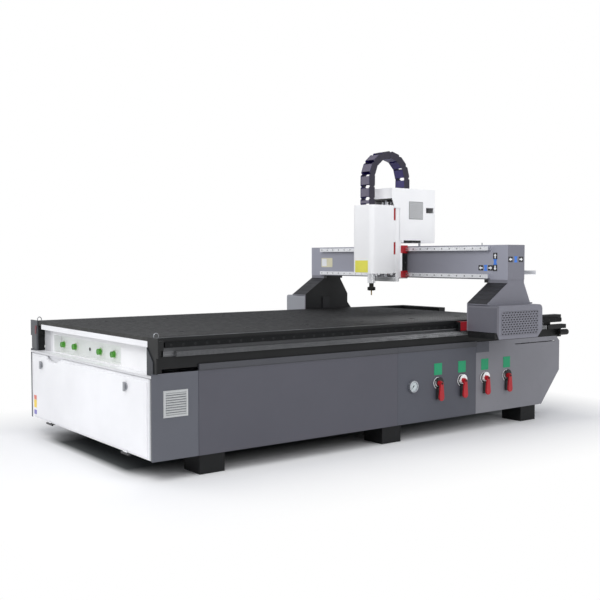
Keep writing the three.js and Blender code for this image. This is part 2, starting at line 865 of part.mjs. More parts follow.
function makeRearCover() {
  const outer = bedLength - rearCoverThickness;
  const inner = outer - rearCoverThickness;
  const footOuter = bedLength - chamferRun - rearCoverThickness;
  const outline = [[outer, frontPanelTop - ledgeThickness], [inner, frontPanelTop - ledgeThickness],
    [inner, chamferTop + rearCoverThickness], [footOuter - rearCoverThickness, sillBottom],
    [footOuter, sillBottom], [outer, chamferTop]];
  return prism('x', outline, [-frameOuter, frameOuter]);
}

// Front frame, ledge and the fixed halves of the door hinges
function makeFrontFrame() {
  const back = frameStart - seat;
  const outer = rectangle([-frameOuter, frameOuter], [sillBottom, ledgeTop - ledgeThickness / 2]);
  const inner = rectangle([-frameOuter + frameWall, frameOuter - frameWall],
    [sillBottom + frameLower, ledgeTop - frameUpper]);
  const ring = prism('y', outer, [frameFront, back], [inner]);
  const ledge = block([-frameOuter, frameOuter], [0, ledgeDepth], [ledgeTop - ledgeThickness, ledgeTop]);
  const hinges = hingePlaces.flatMap((x) => {
    const reach = hingeKnuckle / 2 + hingeEar;
    const pin = rod('x', hingePinRadius, [hingeDepth, hingeLevel], [x - reach, x + reach], smallSides);
    const ear = (from, to) => fuse(rod('x', hingeRadius, [hingeDepth, hingeLevel], [from, to], smallSides),
      block([from, to], [hingeDepth, frameFront + overrun], [hingeLevel, hingeLevel + hingeRadius]),
      block([from, to], [frameFront, frameFront + overrun], [hingeLevel, sillBottom + overrun]));
    const start = hingeKnuckle / 2 + seat;
    return [pin, ear(x - reach, x - start), ear(x + start, x + reach)];
  });
  return fuse(ring, ledge, ...hinges);
}

// Door: a tray of bent sheet with a raised middle, a finger notch and bored hinge knuckles
function makeDoor() {
  const plate = block([-doorHalfWidth, doorHalfWidth], [doorRaise, doorThickness], [doorBottom, doorTop]);
  const raised = block([-doorHalfWidth + doorBevelWidth, doorHalfWidth - doorBevelWidth],
    [0, doorRaise + seat],
    [doorBottom + doorBevelHeight, doorTop - doorBevelHeight]);
  const pocketHalf = doorHalfWidth - doorBevelWidth - doorSkin;
  const pocket = block([-pocketHalf, pocketHalf], [doorSkin, doorThickness + overrun],
    [doorBottom + doorBevelHeight + doorSkin, doorTop - doorBevelHeight - doorSkin - notchDepth]);
  const notch = prism('y', arc([0, 0], 1, 0, -180, 2 * roundSteps).map(([a, b]) =>
    [notchCentre + a * notchHalfWidth, doorTop + b * notchDepth]), [-overrun, doorThickness + overrun]);
  const notchTop = block([notchCentre - notchHalfWidth, notchCentre + notchHalfWidth],
    [-overrun, doorThickness + overrun], [doorTop - seat, doorTop + overrun]);
  const knuckles = hingePlaces.flatMap((x) => {
    const span = [x - hingeKnuckle / 2, x + hingeKnuckle / 2];
    return [rod('x', hingeRadius, [hingeDepth, hingeLevel], span, smallSides),
      block(span, [hingeDepth - hingeRadius / 2, hingeDepth + hingeRadius],
        [hingeLevel, doorBottom + overrun])];
  });
  const bores = hingePlaces.map((x) => rod('x', hingePinRadius + seat, [hingeDepth, hingeLevel],
    [x - hingeKnuckle, x + hingeKnuckle], smallSides));
  const latchBores = latchPlaces.map((x) =>
    rod('y', latchShaftRadius + seat, [x, latchLevel], [-overrun, doorThickness + overrun], smallSides));
  return cut(fuse(plate, raised, ...knuckles), pocket, notch, notchTop, ...bores, ...latchBores);
}

function makeLatch(x) {
  const base = rod('y', latchBaseRadius, [x, latchLevel], [-latchBaseDepth, -seat], smallSides);
  const wing = block([x - latchWingWidth / 2, x + latchWingWidth / 2],
    [-latchBaseDepth - latchWingDepth, -latchBaseDepth + seat],
    [latchLevel - latchWingLength / 2, latchLevel + latchWingLength / 2]);
  const camStart = frameStart + seat;
  const shaft = rod('y', latchShaftRadius, [x, latchLevel],
    [-latchBaseDepth, camStart + latchCamThickness], smallSides);
  const cam = block([x - latchCamWidth / 2, x + latchCamLength], [camStart, camStart + latchCamThickness],
    [latchLevel - latchCamWidth / 2, latchLevel + latchCamWidth / 2]);
  return fuse(base, wing, shaft, cam);
}

// Upper front panel, button plate and buttons
const recessX = [recessCentre - recessHalfWidth, recessCentre + recessHalfWidth];
const recessZ = [recessBottom, recessTop];
const plateStart = upperPanelFront + recessDepth + seat;

function makeUpperPanel() {
  const bottom = ledgeTop + seat;
  const face = prism('y', rectangle([-upperPanelHalfWidth, upperPanelHalfWidth],
    [bottom, tableBottom - seat]),
    [upperPanelFront, upperPanelFront + upperPanelThickness], [rectangle(recessX, recessZ)]);
  const outer = rectangle([recessX[0] - recessWall, recessX[1] + recessWall],
    [recessZ[0] - recessWall, recessZ[1] + recessWall]);
  const walls = prism('y', outer, [upperPanelFront + upperPanelThickness - seat,
    upperPanelFront + recessDepth],
    [rectangle(recessX, recessZ)]);
  return fuse(face, walls);
}

// Button plate with the bezels of its four buttons and a small socket
function makeButtonPlate() {
  const plate = block([recessX[0] - recessWall, recessX[1] + recessWall],
    [plateStart, plateStart + buttonPlateThickness], [recessZ[0] - recessWall, recessZ[1] + recessWall]);
  const bezels = buttonPlaces.map((x) =>
    rod('y', bezelRadius, [x, buttonLevel], [plateStart - bezelDepth, plateStart + seat]));
  const wells = buttonPlaces.map((x) =>
    rod('y', buttonRadius + buttonFit, [x, buttonLevel], [plateStart - bezelDepth - overrun, plateStart]));
  const bores = buttonPlaces.map((x) => rod('y', buttonStemRadius + buttonFit, [x, buttonLevel],
    [plateStart - overrun, plateStart + buttonPlateThickness + overrun], smallSides));
  const socket = rod('y', socketRadius, [recessCentre + socketShare * recessHalfWidth, buttonLevel],
    [plateStart - overrun, plateStart + socketDepth], smallSides);
  return cut(fuse(plate, ...bezels), socket, ...wells, ...bores);
}

function makeButton(x) {
  const back = plateStart - seat - buttonTravel;
  const cap = rod('y', buttonRadius, [x, buttonLevel], [back - buttonReach, back]);
  const stem = rod('y', buttonStemRadius, [x, buttonLevel], [back - seat, back + buttonStemLength],
    smallSides);
  return fuse(cap, stem);
}

// Control cabinet: plate on the front posts, drives, inverter and power supply on the plate
function makeControls() {
  const back = footPlaces[0] - postSize / 2 - seat;
  const front = back - controlPlateThickness;
  const level = (controlPlateBottom + controlPlateTop) / 2;
  const unit = (x, width, height, depth) => block([x - width / 2, x + width / 2],
    [front - depth, front], [level - height / 2, level + height / 2]);
  const plate = block([-controlPlateHalfWidth, controlPlateHalfWidth], [front, back],
    [controlPlateBottom, controlPlateTop]);
  const drives = Array.from({ length: driveCount }, (unused, i) =>
    unit(driveFirstShare * controlPlateHalfWidth + i * drivePitch, driveWidth, driveHeight, driveDepth));
  return fuse(plate, ...drives,
    unit(inverterShare * controlPlateHalfWidth, inverterWidth, inverterHeight, inverterDepth),
    unit(supplyShare * controlPlateHalfWidth, supplyWidth, supplyHeight, supplyDepth));
}

// Vacuum manifold: a pipe along the side, a valve over each stub and a riser from each valve to the table
const flangeFace = panelFace + flangeReach;

function makeManifold() {
  const valveSpan = [valveLevel - valveBodyHeight / 2, valveLevel + valveBodyHeight / 2];
  const start = valveStart - manifoldLead;
  const end = valvePlaces[valveCount - 1] + manifoldLead;
  const pipe = rod('y', manifoldRadius, [pipePlace, manifoldLevel], [start, end], smallSides);
  const bore = rod('y', manifoldBore, [pipePlace, manifoldLevel], [start + tubeWall, end + overrun],
    smallSides);
  const valves = valvePlaces.flatMap((y) => [
    rod('z', riserRadius, [pipePlace, y], [manifoldLevel + manifoldBore, tableBottom - seat], smallSides),
    rod('z', valveBodyRadius, [pipePlace, y], valveSpan, smallSides),
    rod('x', stemRadius, [y, valveLevel], [pipePlace, flangeFace - flangeDepth / 2], smallSides),
    rod('x', flangeRadius, [y, valveLevel], [flangeFace - flangeDepth, flangeFace])]);
  return fuse(cut(pipe, bore), ...valves);
}

function makeLever(y) {
  const hubEnd = flangeFace + seat + leverHubLength;
  const hub = rod('x', leverHubRadius, [y, valveLevel], [flangeFace + seat, hubEnd], smallSides);
  const end = valveLevel - leverLength + leverWidth / 2;
  const arm = prism('x', [[y - leverNeck / 2, valveLevel], ...arc([y, end], leverWidth / 2, -180, 0),
    [y + leverNeck / 2, valveLevel], ...arc([y, valveLevel], leverNeck / 2, 0, 180).slice(1, -1)],
  [hubEnd - seat, hubEnd + leverThickness]);
  return fuse(hub, arm);
}

const gaugeBack = panelFace + seat;
const dialFace = gaugeBack + gaugeDepth - dialDepth;

function makeGauge() {
  const at = [gaugePlace, gaugeLevel];
  const body = rod('x', gaugeRadius, at, [gaugeBack, gaugeBack + gaugeDepth]);
  const stem = rod('x', stemRadius - gaugeStemFit, at, [gaugeBack - gaugeStemLength, gaugeBack + seat],
    smallSides);
  const well = rod('x', gaugeRadius - gaugeRim, at, [dialFace, gaugeBack + gaugeDepth + overrun]);
  return cut(fuse(body, stem), well);
}

function makeNeedle() {
  const x = [dialFace + seat, dialFace + seat + needleThickness];
  const half = needleWidth / 2;
  const blade = prism('x', [[0, needleLength], [-half, -needleTail], [half, -needleTail]], x);
  const hub = rod('x', needleHubRadius, [0, 0], [x[0], x[1] + needleThickness], smallSides);
  const needle = fuse(blade, hub).rotateX(THREE.MathUtils.degToRad(needleRest));
  return needle.translate(0, gaugePlace, gaugeLevel);
}

// Gantry beam with the cable tray on its rear, rails and rack. Depths start at the beam's front face.
function makeBeam() {
  const body = block([-beamHalfLength, beamHalfLength], [0, beamDepth], [beamBottom, beamTop]);
  const hollow = block([-beamHalfLength + beamWall, beamHalfLength - beamWall],
    [beamWall, beamDepth - beamWall], [beamBottom + beamWall, beamTop - beamWall]);
  const hole = rod('y', cableHoleRadius, [0, (beamBottom + beamTop) / 2],
    [beamDepth - beamWall - overrun, beamDepth + overrun], smallSides);
  const rear = beamDepth + trayReach;
  const floor = trayLevel + trayWall;
  const tray = prism('x', [[beamDepth, trayLevel], [rear, trayLevel], [rear, trayLevel + trayLip],
    [rear - trayWall, trayLevel + trayLip], [rear - trayWall, floor], [beamDepth, floor]],
  [-beamHalfLength + xRackInset, beamHalfLength - xRackInset]);
  return fuse(cut(body, hollow, hole), tray);
}

function makeXRail(level) {
  const outline = railSection(railHeight).map(([across, out]) => [xRailBase - out, level + across]);
  return prism('x', outline, [xRailLeft, xRailRight]);
}

function makeXRack() {
  return block([-beamHalfLength + xRackInset, beamHalfLength - xRackInset], [beamDepth + seat, xRackRear],
    [xRackLevel, xRackTop]);
}

// Legs: a hollow trapezoid over a flange, and an inner plate that reaches down to the bearing blocks
function makeLeg() {
  const inner = innerPlateOuter;
  const flangeBottom = legFootLevel - legFlangeHeight;
  const shell = [[legFootFront, legFootLevel - seat], [legFootRear, legFootLevel - seat], [beamDepth, legTop],
    [0, legTop]];
  const hollow = [[legFootFront + 2 * legSkin, legFootLevel], [legFootRear - 2 * legSkin, legFootLevel],
    [beamDepth - legSkin, legTop - legSkin], [legSkin, legTop - legSkin]];
  const body = cut(prism('x', shell, [inner - seat, legOuter]),
    prism('x', hollow, [inner - overrun, legOuter - legSkin]));
  const flange = block([inner - seat, legOuter + legFlangeOuterReach],
    [legFootFront + legFlangeReach / 2, legFootRear + legFlangeReach], [flangeBottom, legFootLevel]);
  const notch = yMotorSize / 2 + seat;
  const plate = prism('x', [[legFootFront, plateBottom], [yMotorPlace - notch, plateBottom],
    [yMotorPlace - notch, yMotorTop + seat], [yMotorPlace + notch, yMotorTop + seat],
    [yMotorPlace + notch, plateBottom], [plateRear, plateBottom], [plateRear, plateFlareLevel],
    [plateWaist, kneeLevel], [plateWaist, legFootLevel], [beamDepth, legTop], [0, legTop],
    [legFootFront, legFootLevel]], [legInner, inner]);
  const seatPlate = block([legInner - seatPlateReach, legOuter], [0, beamDepth],
    [legTop - seat, beamBottom - seat]);
  const cableHole = rod('z', cableHoleRadius, [(inner + legOuter) / 2, yMotorPlace],
    [flangeBottom - overrun, legFootLevel + overrun], smallSides);
  return cut(fuse(body, flange, plate, seatPlate), cableHole);
}

// Covers outside the legs, open towards the bed, with a black pan under each
function makeLegCover() {
  const inner = innerPlateOuter + seat;
  const corner = coverRound / 2;
  const outlineOf = (inset, low) => [
    [coverFront + inset, coverFrontBottom], [coverFront + inset + coverSlant, low],
      [coverRear - coverChamfer, low],
      [coverRear - inset, coverBottom + coverChamfer],
    ...arc([coverRear - coverRound - inset, coverTop - coverRound - inset], coverRound, 0, 90),
    ...arc([coverFront + corner + inset, coverTop - corner - inset], corner, 90, 180)];
  const shell = cut(prism('x', outlineOf(0, coverBottom), [inner, coverOuter]),
    prism('x', outlineOf(coverWall, coverBottom - overrun), [inner - overrun, coverOuter - coverWall]),
    block([inner - overrun, coverOuter - coverWall], [coverFront - overrun, coverFront + coverWall + overrun],
      [coverBottom - overrun, coverFrontBottom]));
  const panOuter = coverOuter - coverWall;
  const panY = [coverFront + coverWall + seat, coverRear - coverChamfer - panChamfer];
  const outline = (inset) => [[inner - (inset ? overrun : 0), panY[0] + inset],
    [panOuter - panChamfer - inset / 2, panY[0] + inset],
      [panOuter - inset, panY[0] + panChamfer + inset / 2],
    [panOuter - inset, panY[1] - inset], [inner - (inset ? overrun : 0), panY[1] - inset]];
  const pan = cut(prism('z', outline(0), [panBottom, panTop]),
    prism('z', outline(panWall), [panBottom + panWall, panTop + overrun]));
  return fuse(shell, pan);
}

// Bearing block: a channel that rides over a rail. Across, out and along are the block's own axes.
function blockSection(height, railTop) {
  const half = blockWidth / 2;
  const slot = railSize / 2 + railFit;
  const roof = railTop + railFit;
  return [[-half, blockFloor], [-slot, blockFloor], [-slot, roof], [slot, roof], [slot, blockFloor],
    [half, blockFloor], [half, height], [-half, height]];
}

function makeYBlock(y) {
  const outline = blockSection(blockHeight, railHeight).map(([across, out]) =>
    [yRailBase + out, yRailLevel + across]);
  return prism('y', outline, [y, y + blockLength]);
}

// Motor of the long axis, over its pinion
function makeYMotor() {
  return pillarBlock(yPinionPlace, yMotorPlace, yMotorSize, yMotorSize, [plateBottom + seat, yMotorTop]);
}

// A pinion on a vertical shaft that reaches up to its motor
function makePinion(x, y, bottom, shaftTop) {
  const gear = [];
  for (let i = 0; i < pinionTeeth; i += 1) {
    const step = 360 / pinionTeeth;
    gear.push(...arc([x, y], pinionRadius + pinionTooth, i * step, i * step + step / 4, 1));
    gear.push(...arc([x, y], pinionRadius - pinionTooth, i * step + step / 2, i * step + (3 * step) / 4, 1));
  }
  return fuse(prism('z', gear, [bottom, bottom + pinionWidth]),
    rod('z', shaftRadius, [x, y], [bottom, shaftTop], smallSides));
}

// Carriage plate with its four bearing blocks, bridge over the beam, screw brackets and motor plate
function makeCarriagePlate() {
  const wide = [-carriageHalfWidth, carriageHalfWidth];
  const plate = block(wide, [carriageFront, carriageBack], [carriageBottom, carriageTop]);
  const bridge = block([-housingHalfWidth, housingHalfWidth], [carriageBack - seat, bridgeRear],
    [bridgeBottom, bridgeTop]);
  const shaftHole = rod('z', shaftRadius + overrun, [0, xPinionDepth],
    [bridgeBottom - overrun, bridgeTop + overrun], smallSides);
  const bracketFront = headBack + 2 * seat;
  const flanges = [-1, 1].map((side) => {
    const edges = [side * carriageHalfWidth, side * (carriageHalfWidth - plateFlangeThickness)];
    return block([Math.min(...edges), Math.max(...edges)],
      [carriageFront - plateFlangeReach, carriageFront + seat],
      [lowerBracketTop - seat, carriageTop]);
  });
  const adaptor = block([-adaptorHalfWidth, adaptorHalfWidth], [carriageBack - seat, -adaptorGap],
    [xRailLow + blockWidth / 2 - seat, xRailHigh - blockWidth / 2 + seat]);
  const lower = block(wide, [bracketFront, carriageFront + lowerBracketLap],
    [lowerBracketBottom, lowerBracketTop]);
  const upper = block([-bracketHalfWidth, bracketHalfWidth], [bracketFront, carriageFront + seat],
    [upperBracketBottom, upperBracketTop]);
  const motorPlate = block([-motorPlateHalfWidth, motorPlateHalfWidth], [motorPlateFront, carriageBack],
    [motorPlateBottom, motorPlateBottom + motorPlateThickness]);
  const pillars = [-1, 1].flatMap((side) => {
    const x = side * (bracketHalfWidth - pillarInset);
    const front = bracketFront + pillarInset;
    const rear = carriageFront - pillarInset / 2;
    return [rod('z', pillarRadius, [x, front], [upperBracketTop - seat, motorPlateBottom + seat], smallSides),
      rod('z', pillarRadius, [x, rear], [upperBracketTop - seat, motorPlateBottom + seat], smallSides)];
  });
  const bore = rod('z', screwRadius + screwFit, [0, screwDepth],
    [lowerBracketBottom + overrun, motorPlateBottom + motorPlateThickness + overrun], roundSides);
  const blocks = [xRailLow, xRailHigh].flatMap((level) => {
    const outline = blockSection(xBlockHeight, railHeight).map(([across, out]) =>
      [xRailBase - out, level + across]);
    return [-1, 1].map((side) => prism('x', outline,
      [side * xBlockPlace - xBlockLength / 2, side * xBlockPlace + xBlockLength / 2]));
  });
  return cut(fuse(plate, bridge, adaptor, lower, upper, motorPlate, ...flanges, ...pillars, ...blocks),
    shaftHole, bore);
}

function makeZRail(x) {
  return prism('z', railSection(zRailHeight).map(([across, out]) => [x + across, zRailBase - out]),
    [zRailBottom, zRailTop]);
}

// Motors of the carriage: one over the rack pinion, one over the ball screw
function makeXMotor() {
  return pillarBlock(0, xPinionDepth, xMotorSize, xMotorSize, [bridgeTop + seat, xMotorTop]);
}

function makeZMotor() {
  const base = motorPlateBottom + motorPlateThickness + seat;
  const motor = pillarBlock(0, screwDepth, zMotorSize, zMotorSize, [base, base + zMotorHeight]);
  return cut(motor, rod('z', screwRadius + screwFit, [0, screwDepth], [base - overrun, base + overrun]));
}

function makeScrew() {
  return rod('z', screwRadius, [0, screwDepth], [lowerBracketBottom + overrun + seat,
    motorPlateBottom + motorPlateThickness + overrun]);
}

// White housing: side walls, top, rear and a short front, open below and towards the carriage plate
function makeHousing() {
  const profile = [[housingFront, housingFrontBottom], [housingSlopeDepth, housingSlopeLevel],
    [housingThroat, housingSlopeLevel], [housingThroat, housingBottom], [housingRear, housingBottom],
    [housingRear, housingTop], [housingFront, housingTop]];
  const wide = [-housingHalfWidth, housingHalfWidth];
  const room = [-housingHalfWidth + housingWall, housingHalfWidth - housingWall];
  const inner = [[housingFront + housingWall, housingFrontBottom],
    [housingFront - overrun, housingFrontBottom],
    [housingFront - overrun, housingBottom - overrun], [housingRear - housingWall, housingBottom - overrun],
    [housingRear - housingWall, housingTop - housingWall],
      [housingFront + housingWall, housingTop - housingWall]];
  const porthole = block([-housingHalfWidth - overrun, housingHalfWidth + overrun],
    [portholeStart, portholeStart + portholeLength], [portholeBottom, portholeBottom + portholeHeight]);
  return cut(prism('x', profile, wide), prism('x', inner, room), porthole);
}

// Head plate with its four bearing blocks, spindle clamps and the nut of the ball screw
function makeHeadPlate() {
  const plate = block([-headPlateHalfWidth, headPlateHalfWidth], [headFront, headBack],
    [headPlateBottom, headPlateTop]);
  const clamps = clampShares.map((share) => {
    const level = headPlateBottom + share * (headPlateTop - headPlateBottom);
    return block([-clampHalfWidth, clampHalfWidth], [spindleDepth - clampFront, headFront + seat],
      [level, level + clampHeight]);
  });
  const nut = fuse(rod('z', nutRadius, [0, screwDepth], [nutBottom, nutBottom + nutHeight]),
    block([-nutRadius, nutRadius], [headBack - seat, screwDepth], [nutBottom, nutBottom + nutHeight]));
  const spindleBore = rod('z', spindleRadius + spindleFit, [0, spindleDepth],
    [headPlateBottom, headPlateTop]);
  const screwBore = rod('z', screwRadius + screwFit, [0, screwDepth], [headPlateBottom, headPlateTop]);
  const blocks = [-zRailPlace, zRailPlace].flatMap((x) => {
    const outline = blockSection(zBlockHeight, zRailHeight).map(([across, out]) =>
      [x + across, zRailBase - out]);
    return [zBlockLow, zBlockHigh].map((level) =>
      prism('z', outline, [level - zBlockLength / 2, level + zBlockLength / 2]));
  });
  return cut(fuse(plate, nut, ...clamps, ...blocks), spindleBore, screwBore);
}

function makeHeadCover() {
  const front = headBack - headCoverDepth;
  const lipRear = headFront - seat;
  const outline = (inset, rear) => {
    const half = coverHalfWidth - inset;
    const round = headCoverRound - inset;
    const y = front + inset + round;
    return [[-half, rear], ...arc([-half + round, y], round, 180, 270),
      ...arc([half - round, y], round, 270, 360),
      [half, rear]];
  };
  const room = [headCoverBottom - overrun, headCoverTop - headCoverWall];
  const opening = coverHalfWidth - headCoverLip;
  const plateRoom = coverHalfWidth - headCoverWall;
  return cut(prism('z', outline(0, headBack), [headCoverBottom, headCoverTop]),
    prism('z', outline(headCoverWall, lipRear - headCoverWall), room),
    block([-opening, opening], [lipRear - 2 * headCoverWall, lipRear + overrun], room),
    block([-plateRoom, plateRoom], [lipRear, headBack + overrun], room));
}

function makeSpindle() {
  const at = [0, spindleDepth];
  return fuse(rod('z', spindleRadius, at, [spindleNoseTop, spindleTop]),
    rod('z', spindleNoseRadius, at, [spindleBottom, spindleNoseTop + seat]));
}

function makeCollet() {
  const at = [0, spindleDepth];
  const neck = rod('z', neckRadius, at, [neckBottom, spindleBottom - seat], smallSides);
  const nut = rod('z', colletRadius, at, [colletBottom + colletTaper, neckBottom + seat], smallSides);
  const taper = rod('z', colletRadius - colletTaper, at,
    [colletBottom, colletBottom + colletTaper + seat], smallSides,
    colletRadius);
  return fuse(neck, nut, taper);
}

function makeCutter() {
  const at = [0, spindleDepth];
  return fuse(rod('z', cutterRadius, at, [cutterBottom + cutterTaper, colletBottom - seat], smallSides),
    rod('z', cutterRadius / 2, at, [cutterBottom, cutterBottom + cutterTaper + seat], smallSides,
      cutterRadius));
}

// Drag chain. Its path goes up from the head cover, over an arch and down to the housing.
const chainDepth = chainFront + chainThickness / 2;
const chainStart = headCoverTop + seat;
const chainEnd = housingTop + seat;

// Place of a point of the path: depth, level and heading in degrees from straight up.
function chainPoint(distance) {
  const rise = chainCentreLevel - chainStart;
  const bend = Math.PI * chainRadius;
  if (distance <= rise) return { y: chainDepth, z: chainStart + distance, turn: 0 };
  if (distance <= rise + bend) {
    const turn = (distance - rise) / chainRadius;
    return { y: chainDepth + chainRadius * (1 - Math.cos(turn)),
      z: chainCentreLevel + chainRadius * Math.sin(turn), turn };
  }
  return { y: chainDepth + 2 * chainRadius, z: chainCentreLevel - (distance - rise - bend), turn: Math.PI };
}

// Links between two distances along the path, fused into one length of chain
function makeChain(from, to, links) {
  const pitch = (to - from) / links;
  const half = chainThickness / 2;
  const parts = [];
  for (let i = 0; i < links; i += 1) {
    const first = i === 0 ? 0 : chainLinkLap / 2;
    const last = i === links - 1 ? 0 : chainLinkLap / 2;
    const middle = chainPoint(from + (i + 1 / 2) * pitch);
    const plate = (side) => block([side * chainHalfWidth - chainPlate / 2 - (side * chainPlate) / 2,
      side * chainHalfWidth + chainPlate / 2 - (side * chainPlate) / 2], [-half, half],
    [-pitch / 2 - first, pitch / 2 + last]);
    const bar = (y) => block([-chainHalfWidth + chainPlate / 2, chainHalfWidth - chainPlate / 2],
      [y, y + chainBar],
      [-chainBarLength / 2, chainBarLength / 2]);
    const link = fuse(plate(-1), plate(1), bar(-half), bar(half - chainBar));
    parts.push(link.rotateX(-middle.turn).translate(0, middle.y, middle.z));
  }
  return fuse(...parts);
}

// Room on one side of the top of the chain's arch, where its two halves meet
function archRoom(side) {
  const top = chainDepth + chainRadius - (side * seat) / 2;
  const far = top + side * 2 * chainRadius;
  return block([-2 * chainHalfWidth, 2 * chainHalfWidth], [Math.min(top, far), Math.max(top, far)],
    [chainStart - overrun, chainCentreLevel + 2 * chainRadius]);
}

const chainTop = chainCentreLevel - chainStart + (Math.PI / 2) * chainRadius;
const chainLength = chainTop + (Math.PI / 2) * chainRadius + chainCentreLevel - chainEnd;

// The bed
addPiece(machine, 'bed_frame', black, makeBedFrame());
addPiece(machine, 'rail_beam_near', black, makeRailBeam());
addPiece(machine, 'rail_beam_far', black, fuse(mirrored(makeRailBeam()), makeRearBar()));
addPiece(machine, 'vacuum_table', tableBlack, makeTable());
addPair(machine, 'y_rail', darkSteel, makeYRail());
addPair(machine, 'y_rack', steel, makeYRack());
addPiece(machine, 'side_panels_near', panelGrey, makeSidePanels(true));
addPiece(machine, 'side_panels_far', panelGrey, mirrored(makeSidePanels(false)));
addPiece(machine, 'rear_cover', panelGrey, makeRearCover());
addPiece(machine, 'front_frame', white, makeFrontFrame());
addPiece(machine, 'cabinet_door', white, makeDoor());
addPiece(machine, 'door_latch_left', steel, makeLatch(latchPlaces[0]));
addPiece(machine, 'door_latch_right', steel, makeLatch(latchPlaces[1]));
addPiece(machine, 'front_upper_panel', white, makeUpperPanel());
addPiece(machine, 'button_panel', plateGrey, makeButtonPlate());
buttonPlaces.forEach((x, i) => addPiece(machine, `push_button_${i + 1}`, green, makeButton(x)));
addPiece(machine, 'control_electronics', plateGrey, makeControls());
addPiece(machine, 'vacuum_manifold', plateGrey, makeManifold());
valvePlaces.forEach((y, i) => addPiece(machine, `valve_lever_${i + 1}`, leverRed, makeLever(y)));
addPiece(machine, 'gauge_case', steel, makeGauge());
addPiece(machine, 'gauge_needle', black, makeNeedle());

// The gantry
addPiece(gantry, 'gantry_beam', beamGrey, makeBeam());
addPiece(gantry, 'x_rail_lower', brightRail, makeXRail(xRailLow));
addPiece(gantry, 'x_rail_upper', brightRail, makeXRail(xRailHigh));
addPiece(gantry, 'x_rack', steel, makeXRack());
addPair(gantry, 'gantry_leg', beamGrey, makeLeg());
addPair(gantry, 'leg_cover', beamGrey, makeLegCover());
addPair(gantry, 'y_bearing_block_front', red, makeYBlock(yBlockFront));
addPair(gantry, 'y_bearing_block_rear', red, makeYBlock(yBlockRear));
addPair(gantry, 'y_motor', black, makeYMotor());
addPair(gantry, 'y_pinion', steel, makePinion(yPinionPlace, yMotorPlace, rackBottom, plateBottom));

// The carriage and the head
addPiece(carriage, 'carriage_plate', beamGrey, makeCarriagePlate());
addPiece(carriage, 'z_rail_left', brightRail, makeZRail(-zRailPlace));
addPiece(carriage, 'z_rail_right', brightRail, makeZRail(zRailPlace));
addPiece(carriage, 'head_housing', white, makeHousing());
addPiece(carriage, 'x_motor', black, makeXMotor());
addPiece(carriage, 'z_motor', black, makeZMotor());
addPiece(carriage, 'x_pinion', steel, makePinion(0, xPinionDepth, xRackLevel, bridgeTop));
addPiece(carriage, 'z_ball_screw', steel, makeScrew());
addPiece(carriage, 'drag_chain_return', chainBlue,
  cut(makeChain(chainTop, chainLength, chainReturnLinks), archRoom(-1)));
addPiece(carriage, 'head_plate', beamGrey, makeHeadPlate());
addPiece(carriage, 'spindle_cover', white, makeHeadCover());
addPiece(carriage, 'spindle_body', black, makeSpindle());
addPiece(carriage, 'drag_chain_riser', chainBlue, cut(makeChain(0, chainTop, chainRiserLinks), archRoom(1)));
addPiece(carriage, 'collet_nut', darkSteel, makeCollet());
addPiece(carriage, 'router_bit', steel, makeCutter());

export default machine;
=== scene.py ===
from math import copysign, cos, dist, pi, radians, sin

import bmesh
import bpy
from bpy.props import FloatProperty, FloatVectorProperty, PointerProperty
from bpy.types import Operator, Panel, PropertyGroup
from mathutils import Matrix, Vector


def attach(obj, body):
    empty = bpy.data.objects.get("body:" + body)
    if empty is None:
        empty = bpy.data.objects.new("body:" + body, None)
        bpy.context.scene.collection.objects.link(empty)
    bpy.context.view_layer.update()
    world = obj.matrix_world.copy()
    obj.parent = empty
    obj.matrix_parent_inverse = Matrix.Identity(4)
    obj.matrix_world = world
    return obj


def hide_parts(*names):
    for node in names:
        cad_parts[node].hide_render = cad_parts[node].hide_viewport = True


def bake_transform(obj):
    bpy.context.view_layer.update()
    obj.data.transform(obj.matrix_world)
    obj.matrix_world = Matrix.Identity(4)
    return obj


bl_info = {
    "name": "CNC Router",
    "version": (1, 0, 0),
    "blender": (4, 5, 0),
    "location": "View3D > Sidebar > Router",
    "description": "Finishes, fittings and studio for a flat bed gantry router",
    "category": "Object",
}

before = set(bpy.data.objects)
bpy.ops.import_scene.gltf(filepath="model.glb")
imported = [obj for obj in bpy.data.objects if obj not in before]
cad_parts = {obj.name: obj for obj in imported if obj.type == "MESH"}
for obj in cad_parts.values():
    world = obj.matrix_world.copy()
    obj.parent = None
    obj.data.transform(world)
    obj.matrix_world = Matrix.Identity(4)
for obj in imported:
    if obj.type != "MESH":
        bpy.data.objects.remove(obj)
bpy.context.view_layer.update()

# Places are in millimetres from the middle of the bed's front edge at floor level.
# FRONT and TABLE_TOP alone are in metres of the scene, FRONT for that edge.
MM = 0.001
FRONT = -1.413
TABLE_TOP = 0.629
GANTRY = 2097.5
CARRIAGE_X = -4.0
BEAM_END = 882
VALVES = (1733.04, 1920.54, 2108.04, 2295.54)
BUTTONS = (-455.7, -301.5, 5.6, 161.6)
BUTTON_LEVEL = 510
SOCKET_X = -136.1
GAUGE = (1540.1, 293)


# Colour and places


def paint(red, green, blue):
    """A display colour from 0 to 255 as the scene's own linear colour."""
    shares = (value / 255 for value in (red, green, blue))
    return tuple(s / 12.92 if s <= 0.04045 else ((s + 0.055) / 1.055) ** 2.4 for s in shares)


def row(x, y, z):
    """A place on the bed as a point of the scene."""
    return Vector((x * MM, y * MM + FRONT, z * MM))


def colour(name, shade, description):
    return FloatVectorProperty(
        name=name, description=description, default=paint(*shade), min=0, max=1, subtype="COLOR"
    )


def number(name, default, description, least=0, **kind):
    return FloatProperty(name=name, description=description, default=default, min=least, **kind)


def length(name, default, description):
    return number(name, default, description, unit="LENGTH")


